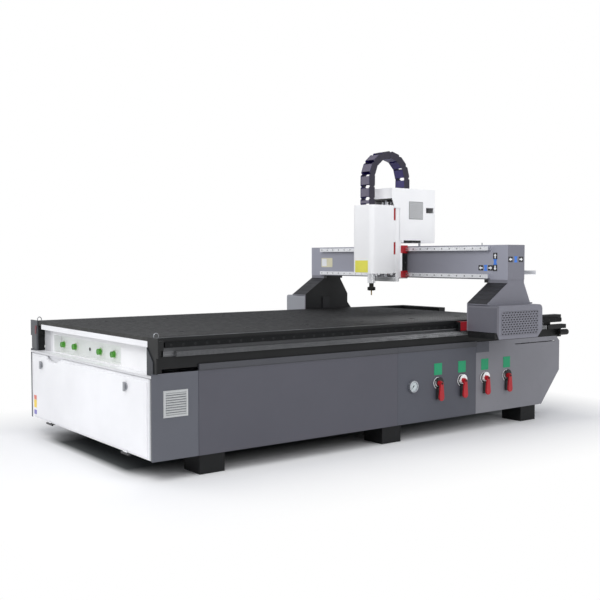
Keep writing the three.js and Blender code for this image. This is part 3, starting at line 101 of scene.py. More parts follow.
class RouterColours(PropertyGroup):
    white: colour("White enamel", (242, 242, 244), "Door, front frame and table edge")
    panel_front: colour("Front side panel", (86, 88, 96), "Side panel next to the door")
    panel_long: colour("Long side panel", (74, 74, 83), "Long side panel in the middle")
    panel_valves: colour("Valve side panel", (73, 75, 84), "Side panel with the valves")
    panel_rear: colour("Rear side panel", (122, 122, 128), "Side panel with the cut corner")
    gantry: colour("Gantry grey", (118, 118, 127), "Beam, legs and leg covers")
    black: colour("Frame black", (19, 20, 21), "Welded frame and dark edges")
    table: colour("Table grey", (58, 58, 57), "Vacuum table")
    red: colour("Block red", (170, 14, 28), "Carriage's blocks and valve levers")
    green_button: colour("Button green", (72, 158, 36), "Push buttons")
    green_tag: colour("Tag green", (0, 146, 98), "Plain tags above the valves")
    yellow: colour("Plate yellow", (240, 234, 84), "Plain plate on the spindle cover")
    chain_outside: colour("Chain outside", (98, 92, 110), "Outer bars of the drag chain")
    chain_inside: colour("Chain inside", (30, 18, 92), "Inner faces of the drag chain")


class RouterSizes(PropertyGroup):
    bolt_pitch: length("Bolt pitch", 0.060, "Distance between the bolts of a rail")
    bolt_radius: length("Bolt radius", 0.0055, "Radius of a rail bolt's counterbore")
    tooth_pitch: length("Tooth pitch", 0.00628, "Pitch of the long racks' teeth")
    tooth_depth: length("Tooth depth", 0.004, "Depth of the teeth")
    grid_pitch: length("Grid pitch", 0.020, "Pitch of the grooves in the vacuum table")
    groove_width: length("Groove width", 0.005, "Width of the grooves in the vacuum table")
    link_pitch: length("Chain pitch", 0.0725, "Distance between the joints of the drag chain")
    link_foot: length("Chain foot", 0.040, "Height of the chain's fixed end over the spindle cover")
    link_plate: length("Link plate", 0.005, "Thickness of a chain link's side plate")
    edge_radius: length("Edge radius", 0.0015, "Rounding of painted sheet edges")
    plate_depth: length("Plate depth", 0.0008, "Thickness of a plain adhesive plate")


class RouterStage(PropertyGroup):
    camera: FloatVectorProperty(
        name="Camera", description="Place of the camera", unit="LENGTH",
        default=(4.144, -3.199, 0.972),
    )
    forward: FloatVectorProperty(
        name="Forward", description="Direction of the camera", default=(-0.7983, 0.6004, -0.0464)
    )
    lens: number("Lens", 53.91, "Focal length in millimetres", 1)
    key: number("Key light", 1.0, "Strength of the main lamp")
    sky: number("Sky light", 0.57, "Strength of the even light")


def colours():
    return bpy.context.scene.router_colours


def sizes():
    return bpy.context.scene.router_sizes


# Finishes


def tint(value):
    """A colour from the panel's colour of that name, or from display numbers."""
    return getattr(colours(), value) if isinstance(value, str) else paint(*value)


def toned(shade, factor):
    """A colour made darker or lighter, at most white."""
    return [min(1, c * factor) for c in shade]


class Nodes:
    """A node tree in the making."""

    def __init__(self, tree):
        self.tree = tree

    def node(self, kind, inputs=(), **settings):
        node = self.tree.nodes.new(kind)
        for key, value in settings.items():
            setattr(node, key, value)
        for key, value in dict(inputs).items():
            self.feed(node.inputs[key], value)
        return node

    def feed(self, socket, value):
        if isinstance(value, bpy.types.NodeSocket):
            self.tree.links.new(value, socket)
        elif socket.type == "RGBA" and len(value) == 3:
            socket.default_value = (*value, 1)
        else:
            socket.default_value = value

    def math(self, operation, *values):
        node = self.node("ShaderNodeMath", dict(enumerate(values)), operation=operation)
        return node.outputs[0]

    def times(self, first, second):
        return self.math("MULTIPLY", first, second)

    def most(self, first, second):
        return self.math("MAXIMUM", first, second)


class Finish(Nodes):
    """A surface finish: a material's nodes, with grain from object coordinates."""

    def __init__(self, name):
        self.material = bpy.data.materials.new(name)
        self.material.use_nodes = True
        super().__init__(self.material.node_tree)
        self.shader = self.tree.nodes["Principled BSDF"]
        self.place = self.node("ShaderNodeTexCoord").outputs["Object"]
        self.axes = None

    def axis(self, name):
        if self.axes is None:
            self.axes = self.node("ShaderNodeSeparateXYZ", {0: self.place}).outputs
        return self.axes[name.upper()]

    def mix(self, share, first, second):
        values = {0: share, 6: first, 7: second}
        return self.node("ShaderNodeMix", values, data_type="RGBA").outputs[2]

    def noise(self, scale, detail=3.0, stretch=None):
        place = self.place
        if stretch:
            place = self.node("ShaderNodeMapping", {"Vector": place, "Scale": stretch}).outputs[0]
        values = {"Vector": place, "Scale": scale, "Detail": detail, "Roughness": 0.6}
        return self.node("ShaderNodeTexNoise", values).outputs["Fac"]

    def spread(self, value, low=0, high=1, start=0.3, end=0.7):
        """A value's share of the way from start to end, as a number from low to high."""
        values = {0: value, 1: start, 2: end, 3: low, 4: high}
        return self.node("ShaderNodeMapRange", values).outputs[0]

    def zone(self, **limits):
        """1 inside a box with sides (low, high) in millimetres; r is x without its sign."""
        share = None
        for name, (low, high) in limits.items():
            shift = FRONT if name == "y" else 0
            value = self.math("ABSOLUTE", self.axis("x")) if name == "r" else self.axis(name)
            for operation, limit in (("GREATER_THAN", low), ("LESS_THAN", high)):
                if limit is None:
                    continue
                test = self.math(operation, value, limit * MM + shift)
                share = test if share is None else self.times(share, test)
        return share

    def clouded(self, shade, dark=0.93, light=1.05, cloud=None):
        """A colour with faint clouds, darker and lighter by the two factors."""
        cloud = cloud or self.noise(2.2)
        return self.mix(self.spread(cloud), toned(shade, dark), toned(shade, light))

    def patched(self, shade, zones):
        for limits, patch in zones:
            shade = self.mix(self.zone(**limits), shade, tint(patch))
        return shade

    def bump(self, height, distance, strength=1.0, onto=None):
        values = {"Height": height, "Distance": distance, "Strength": strength}
        if onto:
            values["Normal"] = onto
        return self.node("ShaderNodeBump", values).outputs[0]

    def peel(self):
        """The orange peel of sprayed enamel."""
        return self.bump(self.noise(420, 2.0), 0.00012, 0.25)

    def finish(self, shade, rough, normal, metal=0.0, **shader):
        values = {"Base Color": shade, "Roughness": rough, "Normal": normal, "Metallic": metal}
        for key, value in (*values.items(), *shader.items()):
            self.feed(self.shader.inputs[key.replace("_", " ")], value)
        return self.material


def enamel(name, base, rough=0.42, zones=(), coat=0.0, gloss=0.5):
    """Baked enamel on sheet: orange peel, faint clouds, scuffs, and zones of another colour."""
    f = Finish(name)
    base, cloud = tint(base), f.noise(2.2)
    shade = f.clouded(base, cloud=cloud)
    roughness = f.spread(f.noise(9), rough - 0.05, rough + 0.09)
    for limits, patch in zones:
        shade = f.mix(f.zone(**limits), shade, f.clouded(tint(patch), cloud=cloud))
    scuff = f.spread(f.noise(60, 6.0), 0, 0.35, 0.62, 0.8)
    shade = f.mix(scuff, shade, toned(base, 0.82))
    return f.finish(shade, roughness, f.peel(), Coat_Weight=coat, Specular_IOR_Level=gloss)


def ground_steel(name, base, rough=0.3, grain=(1, 1, 1), zones=()):
    """Ground or drawn metal with lines along one axis."""
    f = Finish(name)
    base, lines = tint(base), f.noise(260, 4.0, grain)
    shade = f.mix(f.spread(lines), toned(base, 0.82), base)
    rub = f.spread(f.noise(14, 5.0), 0, 0.5, 0.45, 0.8)
    shade = f.patched(f.mix(rub, shade, toned(base, 0.7)), zones)
    roughness = f.spread(lines, rough - 0.08, rough + 0.12)
    return f.finish(shade, roughness, f.bump(lines, 0.00008, 0.4), 0.9)


def moulded(name, base, rough=0.5, zones=(), texture=300):
    """Moulded plastic with a fine spark-eroded texture."""
    f = Finish(name)
    shade = f.patched(f.clouded(tint(base), 0.9, 1.08, f.noise(6)), zones)
    roughness = f.spread(f.noise(40), rough - 0.06, rough + 0.1)
    return f.finish(shade, roughness, f.bump(f.noise(texture, 2.0), 0.0001, 0.5))


def grooved_table(name):
    """Dark phenolic board with a square grid of grooves on top, in painted shade; a painted sheen
    in front and a painted reflection at the rear right, both with dust specks, and painted shade
    darkening the rest.
    """
    f = Finish(name)
    base, pitch, groove = colours().table, sizes().grid_pitch, sizes().groove_width
    depth = 0.0
    for axis in ("x", "y"):
        wave = f.math("PINGPONG", f.axis(axis), pitch / 2)
        depth = f.most(depth, f.spread(wave, 1, 0, groove * 0.35, groove * 0.65))
    depth = f.times(depth, f.math("GREATER_THAN", f.axis("z"), TABLE_TOP - 0.0005))
    shade = f.clouded(base, 0.8, 1.18, f.noise(3, 5.0))
    # Painted light: a painted sheen lighter toward the front, a painted reflection at the rear
    # right, and painted shade darkening the board outside them.
    front_sheen = f.spread(f.axis("y"), 1, 0, FRONT, FRONT + 1.1)
    rear_reflection = f.times(f.spread(f.axis("y"), 0, 1, -0.1, 0.5), f.spread(f.axis("x"), 0, 1, 0.1, 0.5))
    sheen_mask = f.most(front_sheen, rear_reflection)
    shade = f.mix(sheen_mask, toned(base, 0.2), shade)
    shade = f.mix(f.times(rear_reflection, 0.75), shade, paint(146, 146, 145))
    # Painted shade in the grooves.
    shade = f.mix(f.times(depth, 0.62), shade, toned(base, 0.35))
    # Dust specks, only where the painted sheen and painted reflection lie.
    dust_and_sheen = f.times(f.spread(f.noise(55, 6.0), 0, 0.2, 0.6, 0.85), sheen_mask)
    shade = f.mix(dust_and_sheen, shade, paint(120, 118, 114))
    height = f.math("SUBTRACT", 1.0, depth)
    normal = f.bump(height, 0.002, 0.8, f.bump(f.noise(500, 2.0), 0.0001, 0.3))
    return f.finish(shade, f.spread(f.noise(30), 0.5, 0.68), normal, Specular_IOR_Level=0.2)


def beam_enamel(name):
    """Grey enamel with a painted sheen that makes the front paler toward both ends, with the light
    tray behind.
    """
    f = Finish(name)
    # Painted sheen: the front grows paler toward both ends.
    left = f.spread(f.axis("x"), 1, 0, -0.55, 0.05)
    right = f.times(f.spread(f.axis("x"), 0, 1, 0.15, 0.7), f.zone(x=(None, BEAM_END - 0.5)))
    front = f.times(f.most(f.times(left, 1.3), right), f.zone(y=(None, GANTRY + 2)))
    shade = f.clouded(colours().gantry, 0.95, 1.05, f.noise(2.2, 4.0))
    shade = f.mix(f.times(front, 0.9), shade, paint(152, 153, 165))
    shade = f.mix(f.zone(y=(GANTRY + 141, None)), shade, paint(236, 237, 239))
    return f.finish(shade, f.spread(f.noise(40), 0.36, 0.48), f.peel())


def leg_enamel(name):
    """Leg plates: grey outside, black on the inner plate and on the ribbed slope in front."""
    f = Finish(name)
    shade = f.clouded(colours().gantry)
    normal = f.tree.nodes["Texture Coordinate"].outputs["Normal"]
    facing = f.node("ShaderNodeSeparateXYZ", {0: normal}).outputs
    forward = f.math("LESS_THAN", facing["Y"], -0.25)
    slope = f.times(forward, f.math("GREATER_THAN", facing["Z"], 0.25))
    ribs = f.spread(f.math("PINGPONG", f.axis("z"), 0.011), 0, 1, 0.001, 0.003)
    shade = f.mix(slope, shade, f.mix(ribs, paint(16, 16, 18), paint(34, 34, 38)))
    shade = f.mix(f.zone(r=(None, 742), y=(GANTRY - 166, None)), shade, colours().black)
    normal = f.bump(f.times(ribs, slope), 0.002, 0.6, f.peel())
    return f.finish(shade, f.spread(f.noise(9), 0.38, 0.52), normal)


def rack_steel(name):
    """Rack on its seat bar: dark, with a painted highlight on the seat's upper edge and a painted
    reflection that makes it brighter to the rear.
    """
    f = Finish(name)
    lines = f.noise(260, 4.0, (1, 0.05, 1))
    # Painted reflection: brighter toward the rear.
    along = f.spread(f.axis("y"), 0, 1, 1000 * MM + FRONT, 1750 * MM + FRONT)
    shade = f.mix(along, paint(116, 117, 119), paint(250, 251, 253))
    shade = f.mix(f.spread(lines), toned(paint(92, 93, 95), 0.62), shade)
    # Painted highlight along the seat's upper edge, brighter to the rear; the seat below it a
    # darker grey.
    seat, edge = (f.zone(z=(low, None), r=(None, 705.1)) for low in (568.4, 581.5))
    shade = f.mix(seat, shade, paint(76, 77, 79))
    shade = f.mix(f.times(edge, along), shade, paint(150, 151, 153))
    return f.finish(shade, f.spread(lines, 0.36, 0.52), f.bump(lines, 0.00008, 0.4), 0.35)


# Zones of another colour, as limits in millimetres and a colour

# Painted shade: black below the door's bottom edge, on the door and the front frame, so that the
# hinges there sink into the shade under the bed.
SHADED_BOTTOM_EDGE = ({"z": (None, 97.9)}, "black")
SIDE_ZONES = (
    ({"y": (234.1, 1436)}, "panel_long"),
    ({"y": (1436, 2035.9)}, "panel_valves"),
    ({"y": (2035.9, None)}, "panel_rear"),
    ({"y": (2035.9, 2144), "z": (440, None)}, "panel_valves"),
    ({"y": (234.1, 2035.9), "z": (474, None)}, (62, 63, 69)),
    ({"y": (58, 181), "z": (281, 399), "r": (709.5, None)}, (186, 188, 188)),
    *(({"y": (y - 31, y + 31), "z": (339, 403), "x": (712.3, None)}, "green_tag") for y in VALVES),
)
DOOR_ZONES = (
    # Painted shade: grey on the door's right bevel and darker at its right edge.
    ({"x": (676, 690)}, (204, 205, 207)),
    ({"x": (690, 703)}, (96, 98, 102)),
    SHADED_BOTTOM_EDGE,
)
FRONT_ZONES = (
    # Painted shade: grey on the ledge's front face under its edge, and darker at the frame's right
    # edge.
    ({"z": (454, 467), "y": (None, 4)}, (214, 214, 216)),
    ({"x": (690, None), "z": (None, 454)}, (96, 98, 102)),
    SHADED_BOTTOM_EDGE,
)
COVER_ZONES = (
    # Painted shade on the near cover's front; painted light makes the far cover paler.
    ({"x": (745, None), "y": (None, GANTRY - 150)}, (98, 98, 106)),
    ({"x": (None, -745)}, (146, 148, 154)),
    ({"z": (None, 571.6), "r": (None, 947.9)}, "black"),
)
CARRIAGE_ZONES = (
    ({"y": (GANTRY - 52.15, None), "z": (None, 1056)}, "red"),
    ({"y": (GANTRY - 52.15, None), "z": (895.2, 1003.3)}, "black"),
    # Painted shade: black on the side of the bridge over the beam.
    ({"y": (GANTRY - 33, GANTRY + 112), "z": (1056, 1083), "x": (60, None)}, "black"),
    ({"z": (None, 851.9)}, (196, 197, 198)),
    # Painted highlight on the carriage's right flange.
    ({"x": (79.3, 85), "y": (GANTRY - 94.5, GANTRY - 71.9)}, (254, 254, 255)),
    ({"z": (1320, None)}, "black"),
)
CABINET_ZONES = (
    ({"y": (None, 288), "x": (-690, -260)}, (44, 46, 50)),
    ({"y": (None, 288), "x": (-260, 140)}, (64, 82, 108)),
    ({"y": (None, 288), "x": (140, 400)}, (52, 54, 58)),
)

# Finishes by maker, each with the values that the maker takes after the name

ENAMELS = {
    "white_enamel": ("white", 0.38, (), 0.15),
    "door_enamel": ("white", 0.38, DOOR_ZONES, 0.15),
    "front_enamel": ("white", 0.38, FRONT_ZONES, 0.15),
    # Painted light: the upper panel is a lighter white than the door; painted shade greys it toward
    # its left end.
    "upper_enamel": ((252, 252, 253), 0.38, (
        ({"x": (-640, -560)}, (212, 212, 214)),
        ({"x": (-560, -530)}, (232, 232, 234)),
    ), 0.15),
    # Painted light: the head's white is lighter than the door's white enamel.
    "head_enamel": ((253, 253, 254), 0.38, (), 0.15),
    "side_enamel": ("panel_front", 0.45, SIDE_ZONES),
    "rear_enamel": ("panel_rear", 0.45),
    "frame_enamel": ("black", 0.45, (), 0.0, 0.25),
    "rail_beam_enamel": ((23, 24, 25), 0.42, (
        ({"y": (None, 22.1), "x": (None, -640)}, (84, 86, 90)),
        ({"y": (None, 15.25), "x": (640, None)}, (60, 62, 66)),
    ), 0.0, 0.25),
    "cover_enamel": ("gantry", 0.42, COVER_ZONES),
    "button_plate": ((244, 247, 243), 0.4),
    "carriage_enamel": ((247, 247, 249), 0.4, CARRIAGE_ZONES),
    "head_plate_enamel": ((206, 208, 211), 0.4, (({"y": (GANTRY - 112.35, None)}, "red"),)),
    "mesh_grey": ((112, 112, 121), 0.42),
    "vent_grey": ((196, 197, 198), 0.4),
}
METALS = {
    "rail_steel": ((30, 31, 32), 0.4, (1, 0.02, 1)),
    "cross_rail_steel": ((236, 237, 240), 0.28, (0.02, 1, 1)),
    "upright_rail_steel": ((236, 237, 240), 0.28, (1, 1, 0.02)),
    "cross_rack_steel": ((120, 122, 126), 0.36, (0.05, 1, 1)),
    "tooth_steel": ((84, 85, 87), 0.4, (1, 1, 0.1)),
    "turned_steel": ((205, 207, 212), 0.26, (1, 1, 0.1)),
    "dark_steel": ((52, 52, 49), 0.36, (1, 1, 0.1)),
    "spindle_steel": (
        (186, 189, 194), 0.22, (1, 1, 0.1), (({"z": (None, 876.5)}, (238, 239, 241)),)
    ),
    "cutter_steel": ((176, 150, 92), 0.26, (1, 1, 0.3)),
    "gauge_steel": ((196, 199, 204), 0.24),
    "screw_zinc": ((170, 172, 176), 0.32),
    "latch_zinc": ((176, 178, 182), 0.34),
    "bolt_dark": ((34, 34, 36), 0.4),
}
PLASTICS = {
    "needle_black": ((20, 20, 22), 0.4),
    # Painted shade: black for the insides of holes, sockets, notches and vents.
    "hole_black": ((12, 12, 14), 0.6),
    # Black for the port rims and the valve discs, and for the painted shadows of the valve levers.
    "rim_black": ((26, 26, 28), 0.5),
    "motor_black": ((26, 27, 30), 0.4),
    "beam_motor": ((28, 29, 32), 0.38, (({"z": (None, 584)}, (170, 172, 176)),)),
    # Painted shade: the y blocks' red is darker than the block red of the carriage and levers.
    "block_red": (
        (150, 16, 28), 0.34, (({"y": (None, 1882)}, "black"), ({"y": (2307, None)}, "black"))
    ),
    "lever_red": ("red", 0.42),
    "bumper_red": ((112, 66, 70), 0.6),
    "button_green": ("green_button", 0.3, (), 120),
    "ring_plastic": ((188, 214, 172), 0.35),
    "cabinet_parts": ((196, 198, 200), 0.45, CABINET_ZONES),
    "pipe_plastic": ((168, 170, 172), 0.42, (({"x": (699, None)}, (232, 233, 234)),)),
    "valve_white": ((244, 245, 245), 0.3),
    "valve_pale": ((214, 210, 208), 0.35),
    "filter_mat": ((196, 198, 196), 0.8, (), 90),
    "dial_white": ((190, 198, 200), 0.5),
    "chain_outside": ("chain_outside", 0.45),
    "chain_inside": ("chain_inside", 0.42),
    "chain_side": ((38, 34, 50), 0.5),
    "plate_yellow": ("yellow", 0.35),
    "plate_orange": ((224, 112, 92), 0.35),
    "plate_amber": ((240, 206, 70), 0.35),
    "plate_violet": ((126, 118, 190), 0.35),
    "plate_black": ((30, 28, 30), 0.35),
    "plate_blue": ((64, 122, 214), 0.35),
    "plate_cream": ((216, 210, 180), 0.35),
    "print_white": ((232, 233, 235), 0.4),
}
MAKERS = (
    (enamel, ENAMELS),
    (ground_steel, METALS),
    (moulded, PLASTICS),
    (grooved_table, {"grooved_table": ()}),
    (beam_enamel, {"beam_enamel": ()}),
    (leg_enamel, {"leg_enamel": ()}),
    (rack_steel, {"rack_steel": ()}),
)
FINISHES = {}


def finish(name):
    """A finish by name, made on first use."""
    if name not in FINISHES:
        maker, values = next((maker, table[name]) for maker, table in MAKERS if name in table)
        FINISHES[name] = maker(name, *values)
    return FINISHES[name]


# The solids of each finish, by how their names begin
NODE_FINISHES = {
    "frame_enamel": "bed_frame",
    "rail_beam_enamel": "rail_beam_",
    "grooved_table": "vacuum_table",
    "rail_steel": "y_rail_",
    "rack_steel": "y_rack_",
    "side_enamel": "side_panels_",
    "rear_enamel": "rear_cover",
    "head_enamel": "head_housing spindle_cover",
    "upper_enamel": "front_upper_panel",
    "front_enamel": "front_frame",
    "door_enamel": "cabinet_door",
    "button_plate": "button_panel",
    "button_green": "push_button_",
    "latch_zinc": "door_latch_",
    "cabinet_parts": "control_electronics",
    "pipe_plastic": "vacuum_manifold",
    "lever_red": "valve_lever_",
    "gauge_steel": "gauge_case",
    "needle_black": "gauge_needle",
    "beam_enamel": "gantry_beam",
    "cross_rail_steel": "x_rail_",
    "cross_rack_steel": "x_rack",
    "leg_enamel": "gantry_leg_",
    "cover_enamel": "leg_cover_",
    "block_red": "y_bearing_block_",
    "beam_motor": "y_motor_",
    "motor_black": "x_motor z_motor",
    "turned_steel": "y_pinion_ x_pinion z_ball_screw",
    "carriage_enamel": "carriage_plate",
    "upright_rail_steel": "z_rail_",
    "chain_side": "drag_chain_",
    "head_plate_enamel": "head_plate",
    "spindle_steel": "spindle_body",
    "dark_steel": "collet_nut",
    "cutter_steel": "router_bit",
}
ROUNDED = (
    "cabinet_door", "front_upper_panel", "head_housing", "spindle_cover", "gantry_beam",
    "leg_cover_near", "leg_cover_far",
)


# Shapes


class Shape:
    """A mesh in the making, in millimetres on the bed."""

    def __init__(self, name):
        self.name = name
        self.mesh = bmesh.new()
        self.finishes = []

    def slot(self, name):
        if name not in self.finishes:
            self.finishes.append(name)
        return self.finishes.index(name)

    def loft(self, rings, coat, joined=False):
        """Skins rings of equally many points, capped at both ends or joined to a closed loop."""
        slot = self.slot(coat)
        rows = [[self.mesh.verts.new(point) for point in ring] for ring in rings]
        faces = [] if joined else [self.mesh.faces.new(rows[0]), self.mesh.faces.new(rows[-1])]
        following = rows[1:] + rows[:1] if joined else rows[1:]
        for low, high in zip(rows, following):
            for i in range(len(low)):
                j = (i + 1) % len(low)
                faces.append(self.mesh.faces.new((low[i], low[j], high[j], high[i])))
        for face in faces:
            face.material_index = slot

    def prism(self, axis, outline, span, coat, chamfer=0.0):
        """An outline carried along an axis; its end faces may have a chamfer."""
        middle = [sum(p[i] for p in outline) / len(outline) for i in (0, 1)]
        low, high = span
        steps = [(low, 1), (high, 1)]
        if chamfer:
            end = 1 - chamfer / max(dist(p, middle) for p in outline)
            steps = [(low, end), (low + chamfer, 1), (high - chamfer, 1), (high, end)]
        rings = []
        for level, scale in steps:
            scaled = [[m + (v - m) * scale for v, m in zip(p, middle)] for p in outline]
            rings.append([lifted(axis, a, b, level) for a, b in scaled])
        self.loft(rings, coat)

    def block(self, x, y, z, coat, chamfer=0.0):
        corners = [(x[0], y[0]), (x[1], y[0]), (x[1], y[1]), (x[0], y[1])]
        self.prism("z", corners, z, coat, chamfer)

    def rod(self, axis, centre, radius, span, coat, sides=24, chamfer=0.0):
        self.prism(axis, circle(centre, radius, sides), span, coat, chamfer)

    def ring(self, axis, centre, outer, inner, span, coat, sides=28):
        """A flat ring, with its hole open."""
        low, high = span
        lip = min((outer - inner) * 0.25, (high - low) * 0.4)
        profile = [(inner, low), (outer, low), (outer, high - lip), (outer - lip, high),
                   (inner + lip, high), (inner, high - lip)]
        rings = [[lifted(axis, a, b, level) for a, b in circle(centre, radius, sides)]
                 for radius, level in profile]
        self.loft(rings, coat, joined=True)

    def bolt(self, axis, centre, face, radius):
        """A socket head standing on a face, its hexagon a black disc of painted shade for the
        socket.
        """
        cup = face + radius * 0.7
        self.rod(axis, centre, radius, (face, cup), "screw_zinc", 16, radius * 0.12)
        self.rod(axis, centre, radius * 0.5, (cup, cup + 0.15), "hole_black", 6)

    def perforated(self, face, corner, pitch, count, hole, coat):
        """A sheet of staggered oval holes in a plane across x."""
        slot = self.slot(coat)
        verts = {}

        def vert(a, b):
            key = (round(a, 4), round(b, 4))
            if key not in verts:
                verts[key] = self.mesh.verts.new((face, a, b))
            return verts[key]

        turns = [radians(45 * k) for k in range(8)]
        for i in range(count[0]):
            for j in range(count[1]):
                a, b = corner[0] + i * pitch[0], corner[1] + j * pitch[1]
                shift = pitch[0] * (0.2 if j % 2 else -0.2)
                edge = [(a + pitch[0] * (0.5 + 0.5 * sign(cos(t))),
                         b + pitch[1] * (0.5 + 0.5 * sign(sin(t)))) for t in turns]
                ring = [(a + pitch[0] / 2 + shift + hole[0] * cos(t),
                         b + pitch[1] / 2 + hole[1] * sin(t)) for t in turns]
                for k in range(8):
                    m = (k + 1) % 8
                    corners = [vert(*edge[k]), vert(*edge[m]), vert(*ring[m]), vert(*ring[k])]
                    self.mesh.faces.new(corners).material_index = slot

    def make(self, body, angle=35, thick=0.0):
        """The finished piece, which moves with a body."""
        bmesh.ops.recalc_face_normals(self.mesh, faces=self.mesh.faces)
        for vert in self.mesh.verts:
            vert.co = row(*vert.co)
        mesh = bpy.data.meshes.new(self.name)
        self.mesh.to_mesh(mesh)
        self.mesh.free()
        for name in self.finishes:
            mesh.materials.append(finish(name))
        mesh.shade_smooth()
        mesh.set_sharp_from_angle(angle=radians(angle))
        piece = placed(self.name, mesh)
        if thick:
            sheet = piece.modifiers.new("thickness", "SOLIDIFY")
            sheet.thickness, sheet.offset = thick * MM, 0
        if body:
            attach(piece, body)
        return piece


def placed(name, data):
    """A new object of the scene."""
    piece = bpy.data.objects.new(name, data)
    bpy.context.scene.collection.objects.link(piece)
    return piece


def lifted(axis, a, b, level):
    """The point (a, b) of the plane across an axis, at a level along it."""
    point = [a, b]
    point.insert("xyz".index(axis), level)
    return point


def sign(value):
    return 0 if abs(value) < 1e-6 else copysign(1, value)


def circle(centre, radius, sides):
    turns = (2 * pi * (i + 0.5) / sides for i in range(sides))
    return [(centre[0] + radius * cos(t), centre[1] + radius * sin(t)) for t in turns]


def rounded(a, b, radius, steps=4):
    """A rectangle from its two spans, with round corners."""
    points = []
    corners = ((a[1], b[1]), (a[0], b[1]), (a[0], b[0]), (a[1], b[0]))
    for corner, (ca, cb) in enumerate(corners):
        centre_a = ca - radius * (1 if ca == a[1] else -1)
        centre_b = cb - radius * (1 if cb == b[1] else -1)
        for i in range(steps + 1):
            turn = radians(90 * corner + 90 * i / steps)
            points.append((centre_a + radius * cos(turn), centre_b + radius * sin(turn)))
    return points


def layer(face, thickness):
    """The span of a layer on a face; a negative thickness goes down the axis."""
    return sorted((face, face + thickness))


def places(start, end, pitch, inset):
    """Places at a pitch along a span, the first one inset from its start."""
    count = int((end - start - 2 * inset) / pitch) + 1
    return [start + inset + pitch * i for i in range(count)]


def vent(kind, word, body, side, face, opening, corner, margin, count, hole, coat, thick):
    """A dark field of painted shade on a side face, for the inside seen through the holes, with a
    perforated sheet in front of it.
    """
    # Painted shade: a black sheet behind the holes.
    shade_back = Shape(f"{kind}_vent_back_{word}")
    shade_back.prism("x", rounded(*opening, corner), layer(face + side * 0.05, side * 0.25), "hole_black")
    shade_back.make(body)
    sheet = Shape(f"{kind}_vent_{word}")
    start = [low + margin for low, high in opening]
    pitch = [(high - low - 2 * margin) / n for (low, high), n in zip(opening, count)]
    sheet.perforated(face + side * thick, start, pitch, count, hole, coat)
    sheet.make(body, thick=thick)


# Operators


class ROUTER_OT_stage(Operator):
    """Set up the floor, the lamps, the even light and the camera"""

    bl_idname = "router.stage"
    bl_label = "Studio"

    def execute(self, context):
        stage = context.scene.router_stage
        self.floor()
        self.lamp("key_lamp", (2.6, -4.2, 4.6), (0, 0, 0.5), 4.5, 178 * stage.key)
        self.lamp("fill_lamp", (-4.5, -3.6, 3.2), (0, -0.5, 0.4), 4.0, 60 * stage.key)
        self.lamp("side_lamp", (5.5, 1.6, 2.8), (0, 0.2, 0.5), 4.0, 86 * stage.key)
        self.sky(context, stage.sky)
        camera = bpy.data.cameras.new("camera")
        camera.lens, camera.sensor_width, camera.clip_end = stage.lens, 36, 200
        view = placed("camera", camera)
        view.location = stage.camera
        view.rotation_euler = Vector(stage.forward).to_track_quat("-Z", "Y").to_euler()
        context.scene.camera = view
        context.scene.view_settings.view_transform = "Standard"
        return {"FINISHED"}

    def floor(self):
        mesh = bpy.data.meshes.new("floor")
        reach = 40
        corners = [(-reach, -reach, 0), (reach, -reach, 0), (reach, reach, 0), (-reach, reach, 0)]
        mesh.from_pydata(corners, [], [(0, 1, 2, 3)])
        mesh.materials.append(self.floor_material())
        floor = placed("floor", mesh)

    def floor_material(self):
        """Matt white, with a painted shadow under the bed, fading to a plain white ground further
        out.
        """
        f = Finish("studio_floor")
        wide, long = (
            f.math("SUBTRACT", f.math("ABSOLUTE", f.axis(axis)), half_bed)
            for axis, half_bed in (("x", 0.72), ("y", 1.40))
        )
        far = f.spread(f.most(wide, long), 0, 1, 0.08, 0.8)
        # Painted shadow under the bed.
        painted_shadow = f.times(f.spread(wide, 1, 0, -0.34, -0.14), f.spread(long, 1, 0, -0.03, 0.03))
        shade = f.mix(f.spread(f.noise(0.7)), paint(246, 246, 247), paint(250, 250, 250))
        shade = f.mix(painted_shadow, shade, paint(84, 88, 89))
        f.finish(shade, f.spread(f.noise(3), 0.75, 0.85), f.bump(f.noise(60, 2.0), 0.0002, 0.1))
        path = f.node("ShaderNodeLightPath").outputs
        seen = f.most(path["Is Camera Ray"], path["Is Glossy Ray"])
        seen = f.most(seen, path["Is Transmission Ray"])
        glow = f.node("ShaderNodeEmission", {"Color": (1, 1, 1, 1), "Strength": 1.0})
        ends = {0: f.times(far, seen), 1: f.shader.outputs[0], 2: glow.outputs[0]}
        mixed = f.node("ShaderNodeMixShader", ends)
        f.feed(f.tree.nodes["Material Output"].inputs["Surface"], mixed.outputs[0])
        return f.material

    def lamp(self, name, place, aim, size, power):
        light = bpy.data.lights.new(name, "AREA")
        light.shape, light.size, light.energy = "DISK", size, power
        lamp = placed(name, light)
        lamp.location = place
        lamp.rotation_euler = (Vector(aim) - Vector(place)).to_track_quat("-Z", "Y").to_euler()

    def sky(self, context, strength):
        """Even light from all round, seen as plain white."""
        world = bpy.data.worlds.new("studio")
        world.use_nodes = True
        sky = Nodes(world.node_tree)
        sky.tree.nodes.clear()
        path = sky.node("ShaderNodeLightPath").outputs
        light = {"Color": (0.93, 0.95, 1, 1), "Strength": strength}
        lit = sky.node("ShaderNodeBackground", light)
        seen = sky.node("ShaderNodeBackground", {"Color": (1, 1, 1, 1)})
        either = sky.most(path["Is Camera Ray"], path["Is Transmission Ray"])
        ends = {0: either, 1: lit.outputs[0], 2: seen.outputs[0]}
        mixed = sky.node("ShaderNodeMixShader", ends)
        sky.node("ShaderNodeOutputWorld", {"Surface": mixed.outputs[0]})
        context.scene.world = world


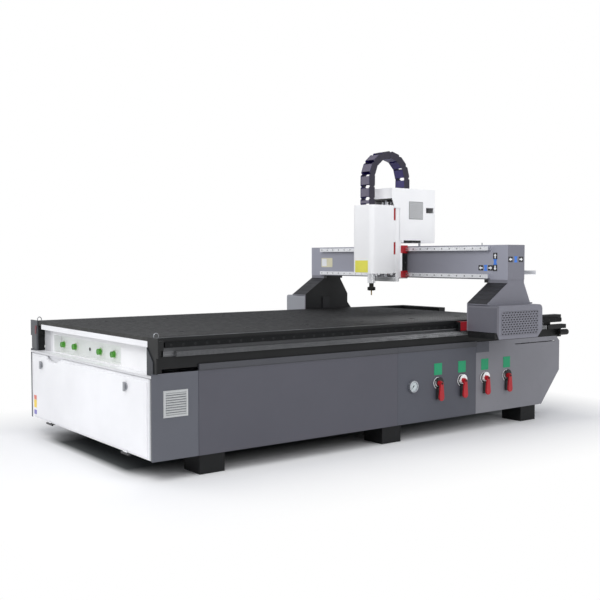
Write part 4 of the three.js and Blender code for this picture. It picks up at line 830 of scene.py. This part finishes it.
class ROUTER_OT_finishes(Operator):
    """Give every solid of the machine its finish"""

    bl_idname = "router.finishes"
    bl_label = "Finishes"

    def execute(self, context):
        for name, begins in NODE_FINISHES.items():
            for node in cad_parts:
                if node.startswith(tuple(begins.split())):
                    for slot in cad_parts[node].material_slots:
                        slot.link = "OBJECT"
                        slot.material = finish(name)
        for node in ROUNDED:
            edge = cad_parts[node].modifiers.new("rounded edges", "BEVEL")
            edge.width, edge.segments, edge.limit_method = sizes().edge_radius, 2, "ANGLE"
            edge.angle_limit = radians(40)
        return {"FINISHED"}


class ROUTER_OT_front(Operator):
    """Add the button rings, the door's plain plates, the table's edge trim and the filter mats"""

    bl_idname = "router.front"
    bl_label = "Front"

    def execute(self, context):
        rings = Shape("button_rings")
        for x in BUTTONS:
            rings.ring("y", (x, BUTTON_LEVEL), 20.5, 15.6, (89.4, 92.2), "ring_plastic")
        socket = (SOCKET_X, BUTTON_LEVEL)
        rings.ring("y", socket, 9, 5.6, (95.6, 97.2), "needle_black")
        # Painted shade: a black disc for the socket's hole.
        rings.rod("y", socket, 5.5, (96, 97.2), "hole_black")
        rings.make("bed")
        for i, x in enumerate(BUTTONS):
            cap = Shape(f"button_cap_{i + 1}")
            cap.ring("y", (x, BUTTON_LEVEL), 15.2, 12.2, (73.4, 75.2), "button_green")
            cap.make(f"button_{i + 1}")
        plates = Shape("door_plates")
        depth = sizes().plate_depth / MM
        rows = {"plate_orange": (199, 222), "plate_amber": (155, 197), "plate_violet": (118, 142)}
        for coat, z in rows.items():
            plates.prism("y", rounded((-664, -628), z, 4), (-depth, 0.0), coat)
        plates.make("door")
        trim = Shape("table_edge_trim")
        trim.block((-600, 642), (20.2, 22.2), (586, 612), "white_enamel", 0.4)
        trim.make("bed")
        mats = Shape("vent_filter_mats")
        for side in (-1, 1):
            span = layer(side * 704, side * 3.6)
            mats.block(span, (61, 178), (284, 396), "filter_mat", 0.6)
        mats.make("bed")
        return {"FINISHED"}


class ROUTER_OT_table(Operator):
    """Add the rims of the vacuum ports"""

    bl_idname = "router.table"
    bl_label = "Table"

    def execute(self, context):
        rims = Shape("port_rims")
        first, pitch = 298, 372
        for x in (-373.6, 448.3):
            for k in range(6):
                rims.ring("z", (x, first + pitch * k), 20, 11, (629.05, 629.9), "rim_black")
        rims.make("bed")
        return {"FINISHED"}


class ROUTER_OT_rails(Operator):
    """Add the bolts of the rails and the teeth of the racks"""

    bl_idname = "router.rails"
    bl_label = "Rails and racks"

    def execute(self, context):
        pitch, radius = sizes().bolt_pitch / MM, sizes().bolt_radius / MM
        bolts, level, face = Shape("long_rail_bolts"), 598, 722.3
        for side in (-1, 1):
            for y in places(62, 2790, pitch, 30):
                self.counterbore(bolts, "x", (y, level), side * face, side, radius, "bolt_dark")
        bolts.make("bed")
        bolts, face = Shape("cross_rail_bolts"), GANTRY - 22.3
        for z in (871, 1027.5):
            for x in places(-760, 757, pitch, 22):
                self.counterbore(bolts, "y", (x, z), face, -1, radius * 0.85, "screw_zinc")
        bolts.make("gantry")
        bolts, face = Shape("upright_rail_bolts"), GANTRY - 102.3
        for x in (CARRIAGE_X - 58, CARRIAGE_X + 58):
            for z in places(868, 1280, pitch, 26):
                self.counterbore(bolts, "y", (x, z), face, -1, radius, "dark_steel")
        bolts.make("carriage")
        self.teeth()
        return {"FINISHED"}

    def counterbore(self, shape, axis, centre, face, outward, radius, coat):
        """A bolt sunk in a rail: a dark ring round its head, painted shade for the counterbore."""
        shape.rod(axis, centre, radius, layer(face, outward * 0.12), "hole_black", 14)
        shape.rod(axis, centre, radius * 0.62, layer(face, outward * 0.24), coat, 12)

    def teeth(self):
        """The teeth as low flats on the racks of the bed, a tenth of their depth high."""
        pitch, face = sizes().tooth_pitch / MM, 726.75
        top = face + sizes().tooth_depth / MM * 0.1
        for side, word in ((-1, "far"), (1, "near")):
            rack = Shape(f"long_rack_teeth_{word}")
            for y in places(117, 2640, pitch, pitch / 2):
                root, tip = pitch * 0.36, pitch * 0.2
                profile = ((face, y - root), (top, y - tip), (top, y + tip), (face, y + root))
                outline = [(side * x, p) for x, p in profile]
                rack.prism("z", outline, (546.5, 568.1), "tooth_steel")
            rack.make("bed")


class ROUTER_OT_rail_beams(Operator):
    """Add the lifting loops and the bumper at the ends of the rail beams"""

    bl_idname = "router.rail_beams"
    bl_label = "Rail beam ends"

    def execute(self, context):
        loops = Shape("lifting_loops")
        for side in (-1, 1):
            self.loop(loops, side * 680)
        loops.make("bed")
        bumper = Shape("end_bumper")
        bumper.prism("y", rounded((-668, -652), (556, 604), 5), (9, 15.2), "bumper_red", 1.5)
        bumper.make("bed")
        return {"FINISHED"}

    def loop(self, shape, x):
        """A bent wire loop that stands on the beam."""
        middle, half, foot, stem, wire = 41, 11, 628, 9, 2.4
        turns = [pi * i / 10 for i in range(11)]
        arch = [(middle - half * cos(t), foot + stem + half * sin(t)) for t in turns]
        path = [(middle - half, foot), *arch, (middle + half, foot)]
        rings = []
        for i, (y, z) in enumerate(path):
            before, after = path[max(i - 1, 0)], path[min(i + 1, len(path) - 1)]
            along = Vector((after[0] - before[0], after[1] - before[1])).normalized()
            section = circle((0, 0), wire, 10)
            rings.append([(x + a, y - along.y * b, z + along.x * b) for a, b in section])
        shape.loft(rings, "screw_zinc")


class ROUTER_OT_gauge(Operator):
    """Add the gauge's dial, its marks and its rim"""

    bl_idname = "router.gauge"
    bl_label = "Gauge"

    def execute(self, context):
        dial = Shape("gauge_dial")
        dial.rod("x", GAUGE, 25.5, (722.32, 722.45), "dial_white", 32)
        dial.ring("x", GAUGE, 31, 26, (722, 729), "gauge_steel", 36)
        for i in range(11):
            turn = radians(225 - 27 * i)
            out = Vector((cos(turn), sin(turn)))
            across = Vector((-out.y, out.x))
            mark = ((0.45, 17.5), (0.45, 23), (-0.45, 23), (-0.45, 17.5))
            outline = [tuple(Vector(GAUGE) + across * a + out * b) for a, b in mark]
            dial.prism("x", outline, (722.4, 722.52), "needle_black")
        dial.rod("x", GAUGE, 3, (722.4, 724.6), "needle_black", 16)
        dial.make("bed")
        return {"FINISHED"}


class ROUTER_OT_valves(Operator):
    """Add the discs and bolts of the valve levers, a dark bar on the panel behind each lever as its
    painted shadow, and the seats behind them
    """

    bl_idname = "router.valves"
    bl_label = "Valves"

    def execute(self, context):
        pivot = 295
        for i, y in enumerate(VALVES):
            cap = Shape(f"lever_cap_{i + 1}")
            disc_coat = "rim_black" if i in (0, 3) else "valve_white"
            cap.rod("x", (y + 8, 300), 27, (717.3, 722), disc_coat, 32, 0.8)
            cap.rod("x", (y, pivot), 6, (744.4, 747), "dark_steel", 6, 0.6)
            # Painted shadow: a dark bar on the panel behind the lever's arm.
            cap.block((714.2, 717), (y - 15, y + 15), (206, 270), "rim_black", 0.8)
            cap.make(f"lever_{i + 1}")
            seat = Shape(f"valve_seat_{i + 1}")
            seat.ring("x", (y, pivot), 31, 20, (710.2, 713), "valve_pale")
            seat.make("bed")
        return {"FINISHED"}


class ROUTER_OT_gantry(Operator):
    """Add the arrow plates, the plain plates and the pin of the beam"""

    bl_idname = "router.gantry"
    bl_label = "Beam plates"

    def execute(self, context):
        plates = Shape("beam_plates")
        face, depth = GANTRY, sizes().plate_depth / MM
        column, low, end_level = 791, 918, 966
        for x, z, turn in ((column, 985, 90), (column, low, 270), (687, low, 180), (757, low, 0)):
            self.arrow(plates, "y", (x, z), turn, face, -depth)
        for x, z in ((column, 951.5), (722, low)):
            self.cross(plates, "y", (x, z), face, -depth)
        for y, turn in ((2118, 180), (2206, 0)):
            self.arrow(plates, "x", (y, end_level), turn, BEAM_END, depth)
        self.cross(plates, "x", (2162, end_level), BEAM_END, depth)
        label = rounded((-770, -649), (911, 974), 6), rounded((-764, -712), (918, 968), 5)
        plates.prism("y", label[0], (face - depth, face), "plate_cream")
        plates.prism("y", label[1], (face - depth * 1.4, face), "print_white")
        plates.rod("z", (676, GANTRY + 20), 3, (1046.6, 1060), "screw_zinc", 12, 0.6)
        plates.make("gantry")
        return {"FINISHED"}

    def arrow(self, shape, axis, centre, turn, face, depth):
        """A black plate with a white arrow."""
        a, b = centre
        wide, tall = (15, 18) if turn % 180 else (18, 15)
        plate = rounded((a - wide, a + wide), (b - tall, b + tall), 3)
        shape.prism(axis, plate, layer(face, depth), "plate_black")
        outline = [(-13, -4), (1, -4), (1, -10), (13, 0), (1, 10), (1, 4), (-13, 4)]
        p, q = cos(radians(turn)), sin(radians(turn))
        spots = [(a + u * p - v * q, b + u * q + v * p) for u, v in outline]
        shape.prism(axis, spots, layer(face + depth * 0.5, depth * 0.9), "print_white")

    def cross(self, shape, axis, centre, face, depth):
        """A plain blue plate with two notches."""
        a, b = centre
        half = ((-13, -17), (13, -17), (8, 0))
        outline = [(a + u, b + v) for u, v in half] + [(a - u, b - v) for u, v in half]
        shape.prism(axis, outline, layer(face, depth), "plate_blue")


class ROUTER_OT_leg_covers(Operator):
    """Add the perforated vents of the leg covers"""

    bl_idname = "router.leg_covers"
    bl_label = "Leg cover vents"

    def execute(self, context):
        opening = (1970, 2272), (556, 684)
        for side, word in ((-1, "far"), (1, "near")):
            vent("cover", word, "gantry", side, side * 951, opening, 10, 0.5, (13, 10), (7.2, 3.6),
                 "mesh_grey", 1.2)
        return {"FINISHED"}


class ROUTER_OT_head(Operator):
    """Add the cover's plain plate, the carriage's flange lips and the housing's vents"""

    bl_idname = "router.head"
    bl_label = "Head"

    def execute(self, context):
        depth = sizes().plate_depth / MM
        plate = Shape("cover_plate")
        face = GANTRY - 297
        plate.prism("y", rounded((-61, 56), (886, 959), 3), (face - depth, face), "plate_yellow")
        plate.make("head")
        lips, deep = Shape("carriage_flange_lips"), (GANTRY - 112, GANTRY - 94.2)
        for side in (-1, 1):
            span = layer(CARRIAGE_X + side * 84.2, side * 2.8)
            for z in ((882, 995), (1071, 1204), (1280, 1289)):
                lips.block(span, deep, z, "head_enamel", 0.4)
        lips.make("carriage")
        opening = (2108, 2228), (1214, 1323)
        for side, word in ((-1, "left"), (1, "right")):
            face = CARRIAGE_X + side * 93
            vent("housing", word, "carriage", side, face, opening, 3, 2, (20, 18), (1.4, 1.4),
                 "vent_grey", 0.9)
        return {"FINISHED"}


class ROUTER_OT_chain(Operator):
    """Build the drag chain from its links"""

    bl_idname = "router.chain"
    bl_label = "Drag chain"

    HALF, DEEP = 42, 22
    RISER, RETURN, CENTRE = GANTRY - 248, GANTRY + 41, GANTRY - 103.5
    TURN_Z, RADIUS = 1465.0, 144.5
    FOOT, END = 1295.3, 1402.3
    SHORTEST = 30

    def execute(self, context):
        chain = Shape("drag_chain")
        whole = self.TURN_Z - self.FOOT + pi * self.RADIUS + self.TURN_Z - self.END
        gone, joints = sizes().link_foot / MM, [self.joint(0)]
        while gone < whole - self.SHORTEST:
            joints.append(self.joint(gone))
            gone += sizes().link_pitch / MM
        joints.append(self.joint(whole))
        for i, (start, end) in enumerate(zip(joints, joints[1:])):
            self.link(chain, Vector(start), Vector(end), i % 2)
        piece = chain.make(None)
        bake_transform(piece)
        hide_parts("drag_chain_return", "drag_chain_riser")
        self.foot("chain_foot", "head", self.RISER, 1295.1)
        self.foot("chain_anchor", "carriage", self.RETURN, 1402.05)
        return {"FINISHED"}

    def foot(self, name, body, y, z):
        """A bolted plate at one end of the chain."""
        foot = Shape(name)
        across, along = (CARRIAGE_X - 34, CARRIAGE_X + 34), (y - 14, y + 14)
        foot.block(across, along, (z, z + 3), "screw_zinc", 0.6)
        for x in (CARRIAGE_X - 20, CARRIAGE_X + 20):
            foot.bolt("z", (x, y), z + 3, 5)
        foot.make(body)

    def joint(self, gone):
        """A link's pivot at a length along the chain, as its place along and up."""
        rise, arch = self.TURN_Z - self.FOOT, pi * self.RADIUS
        if gone < rise:
            return self.RISER, self.FOOT + gone
        if gone < rise + arch:
            turn = pi - (gone - rise) / self.RADIUS
            along, up = self.RADIUS * cos(turn), self.RADIUS * sin(turn)
            return self.CENTRE + along, self.TURN_Z + up
        return self.RETURN, self.TURN_Z - (gone - rise - arch)

    def link(self, shape, start, end, odd):
        """Two side plates with round joints and two bars; every other link is a little narrower."""
        along = (end - start).normalized()
        out = Vector((-along.y, along.x))
        size = (end - start).length
        plate, deep = sizes().link_plate / MM, self.DEEP

        def spot(x, s, n):
            point = start + along * s + out * n
            return (CARRIAGE_X + x, point.x, point.y)

        def slab(spans, outline, coat):
            """A flat piece from its span across the chain and its outline along and outwards."""
            shape.loft([[spot(x, *p) for p in outline] for x in spans], coat)

        side_view = [(1, -deep + 5), (8, -deep), (size - 8, -deep), (size - 1, -deep + 5),
                     (size - 1, deep - 5), (size - 8, deep), (8, deep), (1, deep - 5)]
        for side in (-1, 1):
            outer = side * (self.HALF - (0.8 if odd else 0))
            middle, inner = outer - side * plate / 2, outer - side * plate
            slab(sorted((outer, middle)), side_view, "chain_side")
            slab(sorted((middle, inner)), side_view, "chain_inside")
            for s in (0, size):
                round_joint = [(s + a, b) for a, b in circle((0, 0), 12.5, 18)]
                slab(sorted((outer - side * 4.4, outer - side * 0.6)), round_joint, "chain_side")
        reach = self.HALF - plate - 0.8
        gap = sizes().link_pitch / MM * 0.16
        for (low, high), coat in (((deep - 3.5, deep - 0.2), "chain_outside"),
                                  ((-deep + 0.2, -deep + 3.5), "chain_inside")):
            bar = ((gap, low), (size - gap, low), (size - gap, high), (gap, high))
            slab((-reach, reach), bar, coat)


class ROUTER_OT_cutter(Operator):
    """Build the fluted cutter and the notches of its nut"""

    bl_idname = "router.cutter"
    bl_label = "Cutter"

    AXIS, RADIUS = (CARRIAGE_X, GANTRY - 214.5), 4.0

    def execute(self, context):
        cutter = Shape("fluted_cutter")
        tip, fluted, twist, depth = 746, 18, 2.2 * pi, 0.38
        shares = [i / 24 for i in range(25)]
        rings = [self.section(tip + fluted * s, twist * s, depth) for s in shares]
        rings += [self.section(764.5), self.section(773.7)]
        cutter.loft(rings, "cutter_steel")
        piece = cutter.make("rotor", angle=50)
        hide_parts("router_bit")
        # The nut's notches are dark marks of painted shade.
        notches = Shape("nut_notches")
        nut_radius = 23.1
        for k in range(6):
            a, b = cos(pi * k / 3), sin(pi * k / 3)
            x, y = self.AXIS[0] + nut_radius * a, self.AXIS[1] + nut_radius * b
            notch = ((-1, -4), (1.2, -4), (1.2, 4), (-1, 4))
            outline = [(x + u * a - v * b, y + u * b + v * a) for u, v in notch]
            notches.prism("z", outline, (776, 794), "hole_black")
        notches.make("rotor")
        return {"FINISHED"}

    def section(self, z, turn=0.0, cut=0.0):
        """The cutter's section at a level: round, or cut to two flutes and turned."""
        points, sides = [], 24
        for t in (2 * pi * k / sides for k in range(sides)):
            r = self.RADIUS * (1 - cut + cut * abs(cos(t)) ** 0.7)
            points.append((self.AXIS[0] + r * cos(t + turn),
                           self.AXIS[1] + r * sin(t + turn), z))
        return points


class ROUTER_PT_panel(Panel):
    """Lists the steps that dress the machine"""

    bl_idname = "ROUTER_PT_panel"
    bl_label = "CNC Router"
    bl_space_type = "VIEW_3D"
    bl_region_type = "UI"
    bl_category = "Router"

    def draw(self, context):
        for group, kind in GROUPS.items():
            box = self.layout.box()
            for name in kind.__annotations__:
                box.prop(getattr(context.scene, group), name)
        for step in STEPS:
            self.layout.operator(step.bl_idname)


STEPS = (
    ROUTER_OT_stage, ROUTER_OT_finishes, ROUTER_OT_front, ROUTER_OT_table, ROUTER_OT_rails,
    ROUTER_OT_rail_beams, ROUTER_OT_gauge, ROUTER_OT_valves, ROUTER_OT_gantry,
    ROUTER_OT_leg_covers, ROUTER_OT_head, ROUTER_OT_chain, ROUTER_OT_cutter,
)
GROUPS = {
    "router_colours": RouterColours, "router_sizes": RouterSizes, "router_stage": RouterStage
}


def register():
    for group in (*GROUPS.values(), *STEPS, ROUTER_PT_panel):
        bpy.utils.register_class(group)
    for name, group in GROUPS.items():
        setattr(bpy.types.Scene, name, PointerProperty(type=group))


def unregister():
    for name in GROUPS:
        delattr(bpy.types.Scene, name)
    for group in (ROUTER_PT_panel, *reversed(STEPS), *GROUPS.values()):
        bpy.utils.unregister_class(group)


def main():
    register()
    for step in STEPS:
        group, name = step.bl_idname.split(".")
        getattr(getattr(bpy.ops, group), name)()


if __name__ == "__main__":
    main()
